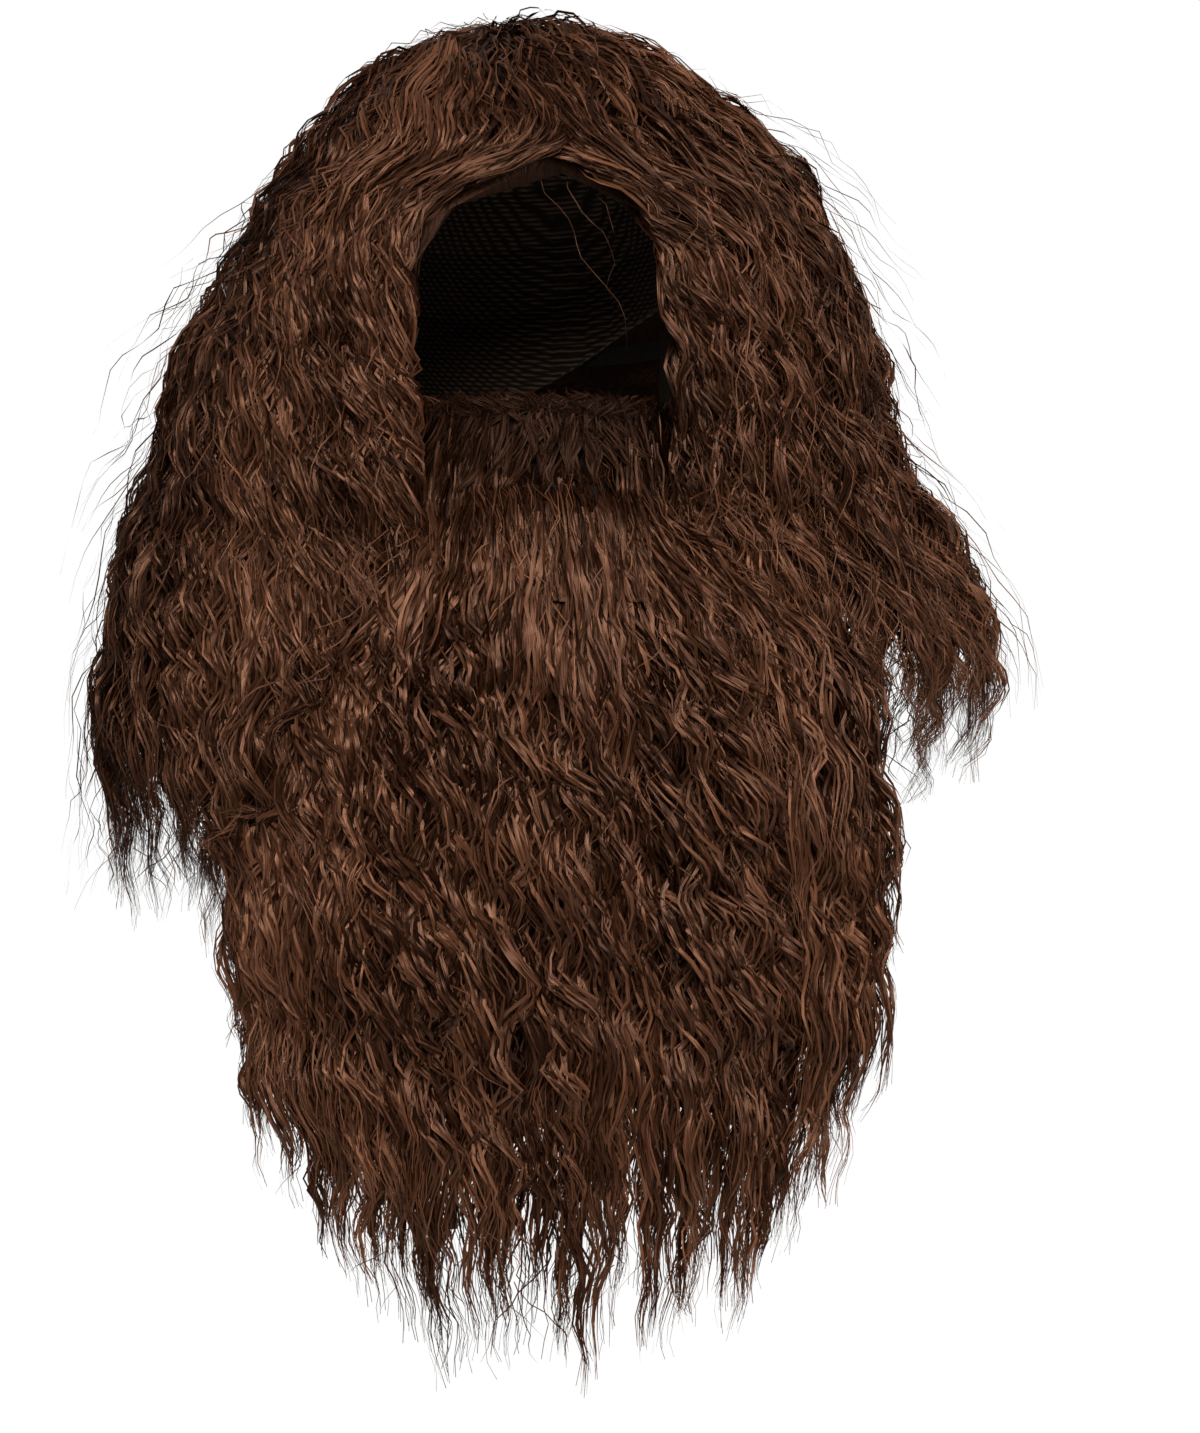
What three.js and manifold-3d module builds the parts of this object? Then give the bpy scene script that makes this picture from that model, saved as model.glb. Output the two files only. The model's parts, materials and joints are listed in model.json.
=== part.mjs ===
// Wig with beard: a costume set of a long crimped wig on a stretch cap, and a full beard on a shaped
// fabric mask held by an elastic strap. Millimetres, +Z up, the front faces -Y and +X is the wearer's left.
// The origin is the head seat, the highest point of the hollow inside the cap.

import * as THREE from 'three';
import { mergeVertices } from 'three/addons/utils/BufferGeometryUtils.js';
import Module from 'manifold-3d';

const wasm = await Module();
wasm.setup();

// Head that the cap fits, an ellipsoid
const headWidth = 156;
const headLength = 196;
const headHeight = 200;

// Cap: its wall, its hem and how far its rim lies below the head seat
const capWall = 2;
const capHemWall = 3;
const capHemHeight = 8;
const hairlineDrop = 58;
const earRimDrop = 105;
const napeRimDrop = 150;

// Gaps between pieces
const pieceGap = 0.3;
const facetAllowance = 1.25;
const seamGap = 0.8;
const layerGap = 4;
const beardSideGap = 5;

// Reach of the hair from the head seat
const hairRise = 21;
const reachRight = 193;
const reachLeft = 245;
const reachFront = 120;
const reachBack = 150;

// How far the layers and falls hang below the head seat
const crownDrop = 185;
const fallRootDrop = 62;
const dropRight = 392;
const dropLeft = 302;
const dropBack = 390;

// Walls of hair, the depth of the grooves between locks, and the crimp
const crownWall = 9;
const fallWall = 14;
const tipWall = 3;
const lockRelief = 4;
const crimpLength = 82;
const crimpHeight = 3;
const swayHeight = 4;

// Face opening, from the middle plane to the hair on each side
const faceHalfRight = 61;
const faceHalfLeft = 53;
const faceArchHeight = 40;

// Beard mask
const maskWall = 2;
const maskReachFront = 110;
const maskFit = 0.5;
const lipDrop = 160;
const chinDrop = 240;
const sideburnTopDrop = 118;
const sideburnFootDrop = 152;
const mouthWidth = 48;
const mouthHeight = 9;
const mouthDrop = 193;

// Beard hair and moustache
const beardRootDrop = 203;
const beardDrop = 588;
const beardHalfWidth = 150;
const beardReachFront = 141;
const beardReachSide = 88;
const beardWall = 20;
const moustacheWall = 9;

// Strap
const strapWidth = 8;
const strapWall = 1.2;
const strapDrop = 125;

const degree = Math.PI / 180;
const headMiddle = -headHeight / 2;
const hairHeight = hairRise + dropBack;

// Widest reach of the hair to each side, from its top (0) to the tips at the back (1).
// The levels are shares of the hair's height, the reaches are shares of the four named reaches.
const hairOutline = [
  { level: 0.0, right: 0.0, left: 0.0, front: 0.0, back: 0.0 },
  { level: 0.01, right: 0.114, left: 0.139, front: 0.25, back: 0.23 },
  { level: 0.021, right: 0.166, left: 0.204, front: 0.37, back: 0.33 },
  { level: 0.05, right: 0.285, left: 0.294, front: 0.56, back: 0.51 },
  { level: 0.097, right: 0.389, left: 0.42, front: 0.76, back: 0.67 },
  { level: 0.169, right: 0.503, left: 0.559, front: 0.92, back: 0.81 },
  { level: 0.264, right: 0.622, left: 0.641, front: 0.99, back: 0.88 },
  { level: 0.347, right: 0.725, left: 0.694, front: 1.0, back: 0.92 },
  { level: 0.43, right: 0.813, left: 0.743, front: 0.98, back: 0.95 },
  { level: 0.513, right: 0.881, left: 0.812, front: 0.95, back: 0.97 },
  { level: 0.584, right: 0.912, left: 0.882, front: 0.93, back: 0.99 },
  { level: 0.644, right: 0.933, left: 0.951, front: 0.92, back: 1.0 },
  { level: 0.715, right: 0.943, left: 0.995, front: 0.92, back: 1.0 },
  { level: 0.762, right: 0.953, left: 0.96, front: 0.92, back: 0.99 },
  { level: 0.846, right: 0.984, left: 0.9, front: 0.9, back: 0.96 },
  { level: 1.0, right: 0.9, left: 0.88, front: 0.88, back: 0.88 },
];

// Length of the falls round the head, from the front (0) past the ear (0.5) to the back (1),
// as shares of each side's own drop and of the back's drop
const fallLengths = [
  { turn: 0.0, side: 0.97, back: 0.0 },
  { turn: 0.35, side: 1.0, back: 0.0 },
  { turn: 0.6, side: 0.98, back: 0.0 },
  { turn: 0.8, side: 0.4, back: 0.58 },
  { turn: 1.0, side: 0.0, back: 1.0 },
];

// Beard from its roots (0) to its lowest tips (1): half widths to the wearer's right and left, forward reach,
// reach of its side edges and wall, as shares of the named beard sizes
const beardOutline = [
  { level: 0.0, right: 0.36, left: 0.33, front: 0.9, side: 0.93, wall: 0.6 },
  { level: 0.05, right: 0.43, left: 0.45, front: 0.93, side: 0.95, wall: 0.7 },
  { level: 0.1, right: 0.51, left: 0.62, front: 0.96, side: 0.96, wall: 0.8 },
  { level: 0.17, right: 0.6, left: 0.82, front: 0.98, side: 0.98, wall: 0.9 },
  { level: 0.25, right: 0.7, left: 0.95, front: 1.0, side: 1.0, wall: 1.0 },
  { level: 0.38, right: 0.85, left: 1.01, front: 0.99, side: 1.0, wall: 1.0 },
  { level: 0.5, right: 0.97, left: 1.02, front: 0.97, side: 1.0, wall: 0.95 },
  { level: 0.65, right: 1.0, left: 1.0, front: 0.94, side: 0.97, wall: 0.8 },
  { level: 0.82, right: 0.98, left: 0.97, front: 0.9, side: 0.93, wall: 0.6 },
  { level: 1.0, right: 0.94, left: 0.94, front: 0.84, side: 0.88, wall: 0.4 },
];

// Lower edge of the beard across its width (-1 to 1), as a share of the length from root to tip
const beardTips = [
  { across: -1.0, length: 0.68 },
  { across: -0.8, length: 0.8 },
  { across: -0.6, length: 0.88 },
  { across: -0.4, length: 0.94 },
  { across: -0.15, length: 0.98 },
  { across: 0.15, length: 1.0 },
  { across: 0.35, length: 0.98 },
  { across: 0.5, length: 0.9 },
  { across: 0.7, length: 0.84 },
  { across: 0.85, length: 0.79 },
  { across: 1.0, length: 0.7 },
];

// Mask from the sideburn's top (0) to the chin (1): shares of the head's width and of the forward reach
const maskSections = [
  { level: 0.0, width: 1.0, front: 0.93 },
  { level: 0.35, width: 0.99, front: 0.98 },
  { level: 0.65, width: 0.95, front: 1.0 },
  { level: 1.0, width: 0.86, front: 0.97 },
];

// Returns one column of a table at a place along its key column, with straight stretches between rows.
function readTable(table, key, column, place) {
  const last = table.length - 1;
  if (place <= table[0][key]) return table[0][column];
  if (place >= table[last][key]) return table[last][column];
  const next = table.findIndex((row) => row[key] >= place);
  const low = table[next - 1];
  const high = table[next];
  const share = (place - low[key]) / (high[key] - low[key]);
  return THREE.MathUtils.lerp(low[column], high[column], share);
}

// A fixed spread of values between -1 and 1, so that neighbouring locks differ.
function variety(index, series) {
  return Math.sin(index * 2.4 + series * 1.7);
}

// Half axes at height z of the head's ellipsoid grown outwards by an offset.
function headAxes(z, offset) {
  const slope = Math.min(1, Math.abs(z - headMiddle) / (headHeight / 2 + offset));
  const size = Math.sqrt(1 - slope * slope);
  return { side: (headWidth / 2 + offset) * size, length: (headLength / 2 + offset) * size };
}

// Turns a closed mesh into a solid for booleans.
function toSolid(geometry) {
  const plain = geometry.clone();
  plain.deleteAttribute('normal');
  plain.deleteAttribute('uv');
  const merged = mergeVertices(plain, 1e-3);
  return new wasm.Manifold(new wasm.Mesh({
    numProp: 3,
    vertProperties: new Float32Array(merged.attributes.position.array),
    triVerts: new Uint32Array(merged.index.array),
  }));
}

// Turns a solid back into a mesh.
function toGeometry(solid) {
  const mesh = solid.getMesh();
  const geometry = new THREE.BufferGeometry();
  geometry.setAttribute('position', new THREE.BufferAttribute(new Float32Array(mesh.vertProperties), 3));
  geometry.setIndex(new THREE.BufferAttribute(new Uint32Array(mesh.triVerts), 1));
  return geometry;
}

// Collects polygons as triangles, leaves out the ones that have shrunk to a line, and closes the mesh.
class FaceList {
  constructor() {
    this.points = [];
  }

  add(...corners) {
    for (let i = 2; i < corners.length; i += 1) {
      const triangle = [corners[0], corners[i - 1], corners[i]];
      const shrunk = triangle.some((corner, k) => corner.distanceTo(triangle[(k + 1) % 3]) < 1e-3);
      if (!shrunk) this.points.push(...triangle);
    }
  }

  toGeometry() {
    const geometry = new THREE.BufferGeometry().setFromPoints(this.points);
    const merged = mergeVertices(geometry, 1e-3);
    const index = merged.index.array;
    const corner = [new THREE.Vector3(), new THREE.Vector3(), new THREE.Vector3()];
    let volume = 0;
    for (let i = 0; i < index.length; i += 3) {
      corner.forEach((point, k) => point.fromBufferAttribute(merged.attributes.position, index[i + k]));
      volume += corner[0].dot(corner[1].clone().cross(corner[2]));
    }
    if (volume < 0) {
      for (let i = 0; i < index.length; i += 3) [index[i + 1], index[i + 2]] = [index[i + 2], index[i + 1]];
    }
    return merged;
  }
}

// Closed wall between two grids of points of the same size, one outside and one inside.
// A grid that goes all the way round has no side walls, and one that starts at a pole has no top wall.
function wallBetween(outer, inner, isLoop) {
  const faces = new FaceList();
  const lastRow = outer.length - 1;
  const lastColumn = outer[0].length - 1;
  for (let row = 0; row < lastRow; row += 1) {
    for (let column = 0; column < lastColumn; column += 1) {
      faces.add(outer[row][column], outer[row][column + 1], outer[row + 1][column + 1], outer[row + 1][column]);
      faces.add(inner[row][column], inner[row + 1][column], inner[row + 1][column + 1], inner[row][column + 1]);
    }
    if (!isLoop) {
      const right = lastColumn;
      faces.add(outer[row][0], outer[row + 1][0], inner[row + 1][0], inner[row][0]);
      faces.add(outer[row + 1][right], outer[row][right], inner[row][right], inner[row + 1][right]);
    }
  }
  for (let column = 0; column < lastColumn; column += 1) {
    faces.add(outer[0][column + 1], outer[0][column], inner[0][column], inner[0][column + 1]);
    faces.add(outer[lastRow][column], outer[lastRow][column + 1], inner[lastRow][column + 1], inner[lastRow][column]);
  }
  return faces.toGeometry();
}

// A backing of hair that parts into locks. It is one closed solid: above a lock's parting row the locks
// share their edges, with a groove between them, and below it each lock runs out to its own pointed tip.
// place(across, down, side) gives the outer and inner point of the wall, with across from -1 to 1.
function lockCurtain({ locks, rows, place, parting, isLoop, shareRelief = 1 }) {
  const faces = new FaceList();
  const edges = [];
  for (let i = 0; i <= locks; i += 1) {
    const isFixed = i === 0 || i === locks || 2 * i === locks;
    edges.push(-1 + (2 / locks) * (i + (isFixed ? 0 : 0.2 * variety(i, 1))));
  }
  for (let lock = 0; lock < locks; lock += 1) {
    const leftEdge = edges[lock];
    const rightEdge = edges[lock + 1];
    const middle = (leftEdge + rightEdge) / 2;
    const leftParting = parting(lock, leftEdge);
    const rightParting = parting(lock + 1, rightEdge);
    const free = Math.max(leftParting, rightParting);
    const section = (row) => {
      const narrow = (from) => (row <= from ? 1 : 1 - ((row - from) / (rows - from)) ** 1.8);
      const left = middle - (middle - leftEdge) * narrow(leftParting);
      const right = middle + (rightEdge - middle) * narrow(rightParting);
      const freeShare = Math.max(0, (row - free) / (rows - free));
      const stretch = 1 + 0.05 * variety(lock, 3) * freeShare;
      const at = (across, lift) => {
        const wall = place(across, (row / rows) * stretch, Math.sign(middle));
        const depth = wall.outer.clone().sub(wall.inner);
        const thin = 1 - 0.8 * freeShare;
        const relief = row === 0 ? 0 : lift * lockRelief * shareRelief;
        const groove = Math.min(0.5, relief / Math.max(depth.length(), 1));
        const centre = wall.inner.clone().addScaledVector(depth, 0.5);
        return {
          outer: centre.clone().addScaledVector(depth, thin * (0.5 - groove)),
          inner: centre.clone().addScaledVector(depth, -0.5 * thin),
        };
      };
      const high = 0.12 * (1 + variety(lock, 2));
      const first = at(left, 1);
      const second = at(THREE.MathUtils.lerp(left, right, 0.3), high);
      const third = at(THREE.MathUtils.lerp(left, right, 0.7), high);
      const fourth = at(right, 1);
      return { outer: [first.outer, second.outer, third.outer, fourth.outer], inner: [first.inner, fourth.inner] };
    };
    let above = section(0);
    const top = above;
    faces.add(top.inner[0], top.inner[1], top.outer[3], top.outer[2], top.outer[1], top.outer[0]);
    for (let row = 0; row < rows; row += 1) {
      const below = section(row + 1);
      for (let k = 0; k < 3; k += 1) {
        faces.add(above.outer[k], above.outer[k + 1], below.outer[k + 1], below.outer[k]);
      }
      faces.add(above.inner[0], below.inner[0], below.inner[1], above.inner[1]);
      const isLeftFree = row >= leftParting || (!isLoop && lock === 0);
      const isRightFree = row >= rightParting || (!isLoop && lock === locks - 1);
      if (isLeftFree) faces.add(above.outer[0], below.outer[0], below.inner[0], above.inner[0]);
      if (isRightFree) faces.add(above.outer[3], above.inner[1], below.inner[1], below.outer[3]);
      above = below;
    }
  }
  return faces.toGeometry();
}

// Share of the way from one height to another, with a soft start and end.
function ramp(z, start, end) {
  return THREE.MathUtils.smoothstep((z - start) / (end - start), 0, 1);
}

// The crimp moves all hair that hangs free below the mask together, so that neighbours keep their gaps.
function sway(point) {
  const strength = swayHeight * ramp(point.z, -chinDrop, -chinDrop - crimpLength);
  const phase = (2 * Math.PI * point.z) / crimpLength + point.x / 40;
  point.x += strength * Math.sin(phase);
  point.y += 0.6 * strength * Math.cos(phase + point.x / 60);
  return point;
}

// Reach of the hair's outside at height z to the right, left, front and back.
function outlineAt(z) {
  const level = (hairRise - z) / hairHeight;
  const reach = { right: reachRight, left: reachLeft, front: reachFront, back: reachBack };
  for (const side of Object.keys(reach)) reach[side] *= readTable(hairOutline, 'level', side, level);
  return reach;
}

// Point at a turn round the head (0 front, 90 degrees the wearer's left, 180 back) on an oval of four reaches.
function onOval(reach, turn, z) {
  const side = Math.sin(turn) >= 0 ? reach.left : reach.right;
  const front = Math.cos(turn) >= 0 ? reach.front : reach.back;
  return new THREE.Vector3(side * Math.sin(turn), -front * Math.cos(turn), z);
}

// Point on an oval of the hair, with the crimp's ripple that winds down and round the head.
function onHair(reach, turn, z) {
  const strength = (crimpHeight / reachBack) * ramp(z, -hairlineDrop, -earRimDrop - crimpLength / 2);
  const ripple = 1 + strength * Math.sin((2 * Math.PI * z) / crimpLength + 4 * turn);
  return onOval(reach, turn, z).multiply(new THREE.Vector3(ripple, ripple, 1));
}

// The four reaches at height z of the cap's outside grown by a gap, so that flat facets stay clear of it.
function capReach(z, gap) {
  const axes = headAxes(z, capWall + gap + facetAllowance);
  return { right: axes.side, left: axes.side, front: axes.length, back: axes.length };
}

// Makes every reach of an oval at least as large as the other's.
function outsideOf(reach, other) {
  return Object.fromEntries(Object.keys(reach).map((side) => [side, Math.max(reach[side], other[side])]));
}

// Moves every reach of an oval by the same distance.
function offsetReach(reach, distance) {
  return Object.fromEntries(Object.keys(reach).map((side) => [side, reach[side] + distance]));
}

// Blends two ovals.
function blendReach(reach, other, share) {
  return Object.fromEntries(Object.keys(reach).map((side) => {
    return [side, THREE.MathUtils.lerp(reach[side], other[side], share)];
  }));
}

// Inside of the upper layer: it lies on the cap at the crown and stands off it lower down.
function crownInside(z) {
  const wall = THREE.MathUtils.lerp(crownWall, tipWall, ramp(z, -earRimDrop, -crownDrop));
  const standing = offsetReach(outlineAt(z), -wall);
  const seated = capReach(z, pieceGap);
  const minimum = offsetReach(capReach(z, pieceGap), ramp(z, -hairlineDrop * 0.6, -hairlineDrop) * (fallWall / 2));
  return outsideOf(blendReach(seated, standing, ramp(z, -hairlineDrop * 0.5, -hairlineDrop)), minimum);
}

// Outside of the upper layer.
function crownOutside(z) {
  return outsideOf(outlineAt(z), offsetReach(crownInside(z), tipWall));
}

// Outside of the falls: under the upper layer they keep clear of it, and below it they reach the outline.
function fallOutside(z) {
  const covered = offsetReach(crownInside(z), -layerGap);
  return blendReach(covered, outlineAt(z), ramp(z, -crownDrop * 1.08, -crownDrop * 1.35));
}

// Inside of the falls: rooted on the cap, then standing off it.
function fallInside(z) {
  const seated = capReach(z, pieceGap);
  const standing = offsetReach(fallOutside(z), -fallWall);
  const roots = ramp(z, -fallRootDrop, -earRimDrop);
  const inside = outsideOf(blendReach(seated, standing, roots), seated);
  return blendReach(inside, offsetReach(outlineAt(z), -fallWall), ramp(z, -napeRimDrop, -mouthDrop));
}

// Half width of the beard at height z, on the wearer's right (side -1) or left (side 1).
function beardWidthAt(z, side) {
  const level = (-z - beardRootDrop) / (beardDrop - beardRootDrop);
  return beardHalfWidth * readTable(beardOutline, 'level', side < 0 ? 'right' : 'left', level);
}

// Turn of the front edge of the hair at height z: the arch of the face opening, then the beard's side.
function frontEdgeTurn(z, side, reach) {
  const faceHalf = side < 0 ? faceHalfRight : faceHalfLeft;
  const arch = THREE.MathUtils.clamp((-hairlineDrop - z) / faceArchHeight, 0, 1);
  const opening = faceHalf * Math.sqrt(1 - (1 - arch) ** 2);
  const besideBeard = Math.max(faceHalf, beardWidthAt(z, side) + beardSideGap);
  const edge = THREE.MathUtils.lerp(opening, besideBeard, ramp(z, -lipDrop, -beardRootDrop));
  return Math.asin(Math.min(0.95, edge / (side < 0 ? reach.right : reach.left)));
}

// Rows of the upper layer from the pole to the hairline and on to the tips, as shares of the two stretches
const crownRows = [0.0, 0.06, 0.2, 0.42, 0.68, 0.9, 1.0, 1.14, 1.32, 1.54, 1.77, 2.0];
const hairlineRow = 6;

// Places a point of the upper layer, with across -1 and 1 at the back and 0 at the front.
function placeCrown(across, down, side) {
  const row = Math.min(down, 1) * (crownRows.length - 1);
  const low = Math.min(Math.floor(row), crownRows.length - 2);
  const share = THREE.MathUtils.lerp(crownRows[low], crownRows[low + 1], row - low);
  const aboveHairline = hairRise - Math.min(share, 1) * (hairRise + hairlineDrop);
  const belowHairline = Math.max(share - 1, 0) * (crownDrop - hairlineDrop) * (1 + Math.max(0, down - 1));
  const z = aboveHairline - belowHairline;
  const seatRise = hairRise - (capWall + pieceGap + facetAllowance);
  const innerZ = z - seatRise * Math.max(0, 1 - share) ** 1.5;
  const outer = crownOutside(z);
  const turnAt = (height, reach) => {
    const edge = frontEdgeTurn(height, side, reach);
    return side * (Math.abs(across) * Math.PI + edge * (1 - Math.abs(across)) ** 3);
  };
  const turn = turnAt(z, outer);
  const inner = crownInside(innerZ);
  const outerPoint = share === 0 ? new THREE.Vector3(0, 0, z) : onHair(outer, turn, z);
  const innerPoint = share === 0 ? new THREE.Vector3(0, 0, innerZ) : onHair(inner, turn, innerZ);
  return { outer: outerPoint, inner: innerPoint };
}

// How far a fall hangs below the head seat at a turn round the head.
function fallDropAt(turn) {
  const share = Math.abs(turn) / Math.PI;
  const sideDrop = turn < 0 ? dropRight : dropLeft;
  return sideDrop * readTable(fallLengths, 'turn', 'side', share)
    + dropBack * readTable(fallLengths, 'turn', 'back', share);
}

// Builds one fall of hair between two turns round the head. The turn 'edge' is the hair's front edge.
function fallBetween(fromTurn, toTurn, locks) {
  const rows = 17;
  const place = (across, down, side) => {
    const share = (across + 1) / 2;
    const rough = THREE.MathUtils.lerp(fromTurn ?? 40 * degree, toTurn ?? -40 * degree, share);
    const z = -THREE.MathUtils.lerp(fallRootDrop, fallDropAt(rough), down);
    const outer = fallOutside(z);
    const from = fromTurn ?? frontEdgeTurn(z, 1, outer);
    const to = toTurn ?? -frontEdgeTurn(z, -1, outer);
    const seam = seamGap / 2 / outer.back;
    const turn = THREE.MathUtils.lerp(from + seam, to - seam, share);
    return { outer: sway(onHair(outer, turn, z)), inner: sway(onHair(fallInside(z), turn, z)) };
  };
  const parting = (edge) => Math.round(rows * (0.66 + 0.1 * variety(edge, 4)));
  return lockCurtain({ locks, rows, place, parting, isLoop: false });
}

// The four reaches of the mask's section at height z, on its inside or outside.
function maskReach(z, offset) {
  const level = (-z - sideburnTopDrop) / (chinDrop - sideburnTopDrop);
  const side = (headWidth / 2 + maskFit) * readTable(maskSections, 'level', 'width', level) + offset;
  const front = (maskReachFront - maskWall) * readTable(maskSections, 'level', 'front', level) + offset;
  return { right: side, left: side, front, back: headLength / 2 + offset };
}

// Cap: an ellipsoid shell cut off along a rim that rises at the forehead and falls to the nape.
function makeCap() {
  const columns = 32;
  const rows = 7;
  const outer = [];
  const inner = [];
  for (let row = 0; row <= rows; row += 1) {
    outer.push([]);
    inner.push([]);
    for (let column = 0; column <= columns; column += 1) {
      const turn = ((column % columns) / columns) * 2 * Math.PI;
      const forward = Math.cos(turn);
      const endDrop = forward > 0 ? hairlineDrop : napeRimDrop;
      const rimDrop = THREE.MathUtils.lerp(earRimDrop, endDrop, forward ** 2);
      const hemTop = rimDrop - capHemHeight;
      const drop = row === rows ? rimDrop : row === rows - 1 ? hemTop : hemTop * (row / (rows - 1)) ** 1.6;
      const wallHere = row >= rows - 1 ? capHemWall : capWall;
      const shell = (offset) => {
        const z = row === 0 ? offset : -drop;
        const axes = headAxes(z, offset);
        return new THREE.Vector3(axes.side * Math.sin(turn), -axes.length * Math.cos(turn), z);
      };
      outer[row].push(shell(capWall));
      inner[row].push(shell(capWall - wallHere));
    }
  }
  return wallBetween(outer, inner, true);
}

// Mask: a curved sheet from ear to ear with the mouth slit cut through it.
function makeMask() {
  const columns = 24;
  const rows = 5;
  const endTurn = 97 * degree;
  const outer = [];
  const inner = [];
  for (let row = 0; row <= rows; row += 1) {
    outer.push([]);
    inner.push([]);
    for (let column = 0; column <= columns; column += 1) {
      const turn = THREE.MathUtils.lerp(-endTurn, endTurn, column / columns);
      const burn = THREE.MathUtils.smoothstep(Math.abs(turn) / endTurn, 0.55, 0.85);
      const topDrop = THREE.MathUtils.lerp(lipDrop, sideburnTopDrop, burn);
      const footShare = THREE.MathUtils.smoothstep(Math.abs(turn) / endTurn, 0.35, 1);
      const footDrop = THREE.MathUtils.lerp(chinDrop, sideburnFootDrop, footShare);
      const z = -THREE.MathUtils.lerp(topDrop, footDrop, row / rows);
      outer[row].push(onOval(maskReach(z, maskWall), turn, z));
      inner[row].push(onOval(maskReach(z, 0), turn, z));
    }
  }
  const slitShape = new THREE.Shape();
  const straight = (mouthWidth - mouthHeight) / 2;
  slitShape.absarc(straight, 0, mouthHeight / 2, -Math.PI / 2, Math.PI / 2);
  slitShape.absarc(-straight, 0, mouthHeight / 2, Math.PI / 2, Math.PI * 1.5);
  const slit = new THREE.ExtrudeGeometry(slitShape, { depth: maskReachFront, bevelEnabled: false, curveSegments: 5 });
  slit.rotateX(Math.PI / 2);
  slit.translate(0, -maskReachFront / 2, -mouthDrop);
  return toGeometry(toSolid(wallBetween(outer, inner, false)).subtract(toSolid(slit)));
}

// Point on the mask's outside straight inside a point of the hair, widened for its facets.
function onMask(point) {
  const facetAllowance = 1.012;
  const reach = maskReach(point.z, maskWall + pieceGap);
  const side = reach.left * facetAllowance;
  const front = reach.front * facetAllowance;
  const scale = 1 / Math.hypot(point.x / side, point.y / front);
  return new THREE.Vector3(point.x * scale, point.y * scale, point.z);
}

// Places a point of the beard, with across -1 to 1 from the wearer's right to the left.
function placeBeard(across, down) {
  const arc = 75 * degree;
  const turn = across * arc;
  const length = readTable(beardTips, 'across', 'length', across);
  const level = length * down;
  const z = -THREE.MathUtils.lerp(beardRootDrop, beardDrop, level);
  const width = beardWidthAt(z, across);
  const front = -beardReachFront * readTable(beardOutline, 'level', 'front', level);
  const side = -beardReachSide * readTable(beardOutline, 'level', 'side', level);
  const wall = beardWall * readTable(beardOutline, 'level', 'wall', level);
  const x = (width * Math.sin(turn)) / Math.sin(arc);
  const forward = (Math.cos(turn) - Math.cos(arc)) / (1 - Math.cos(arc));
  const outer = new THREE.Vector3(x, THREE.MathUtils.lerp(side, front, forward), z);
  const inward = new THREE.Vector3(-Math.sin(turn) / 2, Math.cos(turn), 0).normalize();
  const hanging = outer.clone().addScaledVector(inward, wall);
  const rooted = onMask(outer);
  const inner = rooted.lerp(hanging, ramp(z, -beardRootDrop - 0.4 * beardWall, -chinDrop - beardWall));
  return { outer: sway(outer), inner: sway(inner) };
}

// Places a point of the moustache on the mask, above the mouth slit.
function placeMoustache(across, down) {
  const top = lipDrop + 2 + 5 * across ** 2;
  const foot = THREE.MathUtils.lerp(mouthDrop - mouthHeight / 2 - 2.5, beardRootDrop - 4, across ** 4);
  const z = -THREE.MathUtils.lerp(top, foot, Math.min(down, 1));
  const x = ((across < 0 ? faceHalfRight : faceHalfLeft) - beardSideGap) * across;
  const reach = maskReach(z, maskWall + pieceGap);
  const rough = new THREE.Vector3(x, -reach.front * Math.sqrt(1 - (x / reach.left) ** 2), z);
  const inner = onMask(rough);
  const wall = moustacheWall * (0.45 + 0.55 * Math.min(1, down * 3));
  const outer = inner.clone().add(new THREE.Vector3(x / reach.left, -1, 0).normalize().multiplyScalar(wall));
  return { outer, inner };
}

// Strap: a flat band from one end of the mask round the back of the cap to the other.
function makeStrap() {
  const columns = 26;
  const startTurn = 97 * degree + pieceGap / (headWidth / 2);
  const outer = [];
  const inner = [];
  for (const edge of [-1, 1]) {
    const z = -strapDrop - (edge * strapWidth) / 2;
    const widest = capReach(-strapDrop + strapWidth / 2, pieceGap);
    const ring = (offset) => Array.from({ length: columns + 1 }, (unused, column) => {
      const turn = THREE.MathUtils.lerp(startTurn, 2 * Math.PI - startTurn, column / columns);
      return onOval(offsetReach(widest, offset), turn, z);
    });
    outer.push(ring(strapWall));
    inner.push(ring(0));
  }
  return wallBetween(outer, inner, false);
}

const group = new THREE.Group();

// Adds one named piece with its colour, roughness and sheen of its fibre.
function addPiece(name, geometry, colour, roughness) {
  geometry.computeVertexNormals();
  const material = new THREE.MeshStandardMaterial({ color: colour, roughness, metalness: 0, flatShading: true });
  const mesh = new THREE.Mesh(geometry, material);
  mesh.name = name;
  group.add(mesh);
}

const darkBrown = 0x3a2418;
const warmBrown = 0x4a2e1e;
const netBrown = 0x2a1c14;

const crownLocks = 26;
const crown = lockCurtain({
  locks: crownLocks,
  rows: crownRows.length - 1,
  place: placeCrown,
  parting: (edge, across) => (Math.abs(across) < 1e-6 ? hairlineRow : edge % crownLocks === 0 ? 9 : 8 + (edge % 2)),
  isLoop: true,
});
const backTurn = 125 * degree;
const beard = lockCurtain({
  locks: 18,
  rows: 18,
  place: placeBeard,
  parting: (edge) => Math.round(13.6 + 1.4 * variety(edge, 5)),
  isLoop: false,
});
const moustache = lockCurtain({
  locks: 10,
  rows: 5,
  place: placeMoustache,
  parting: (edge) => 2 + (edge % 2),
  isLoop: false,
  shareRelief: 0.5,
});

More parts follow.
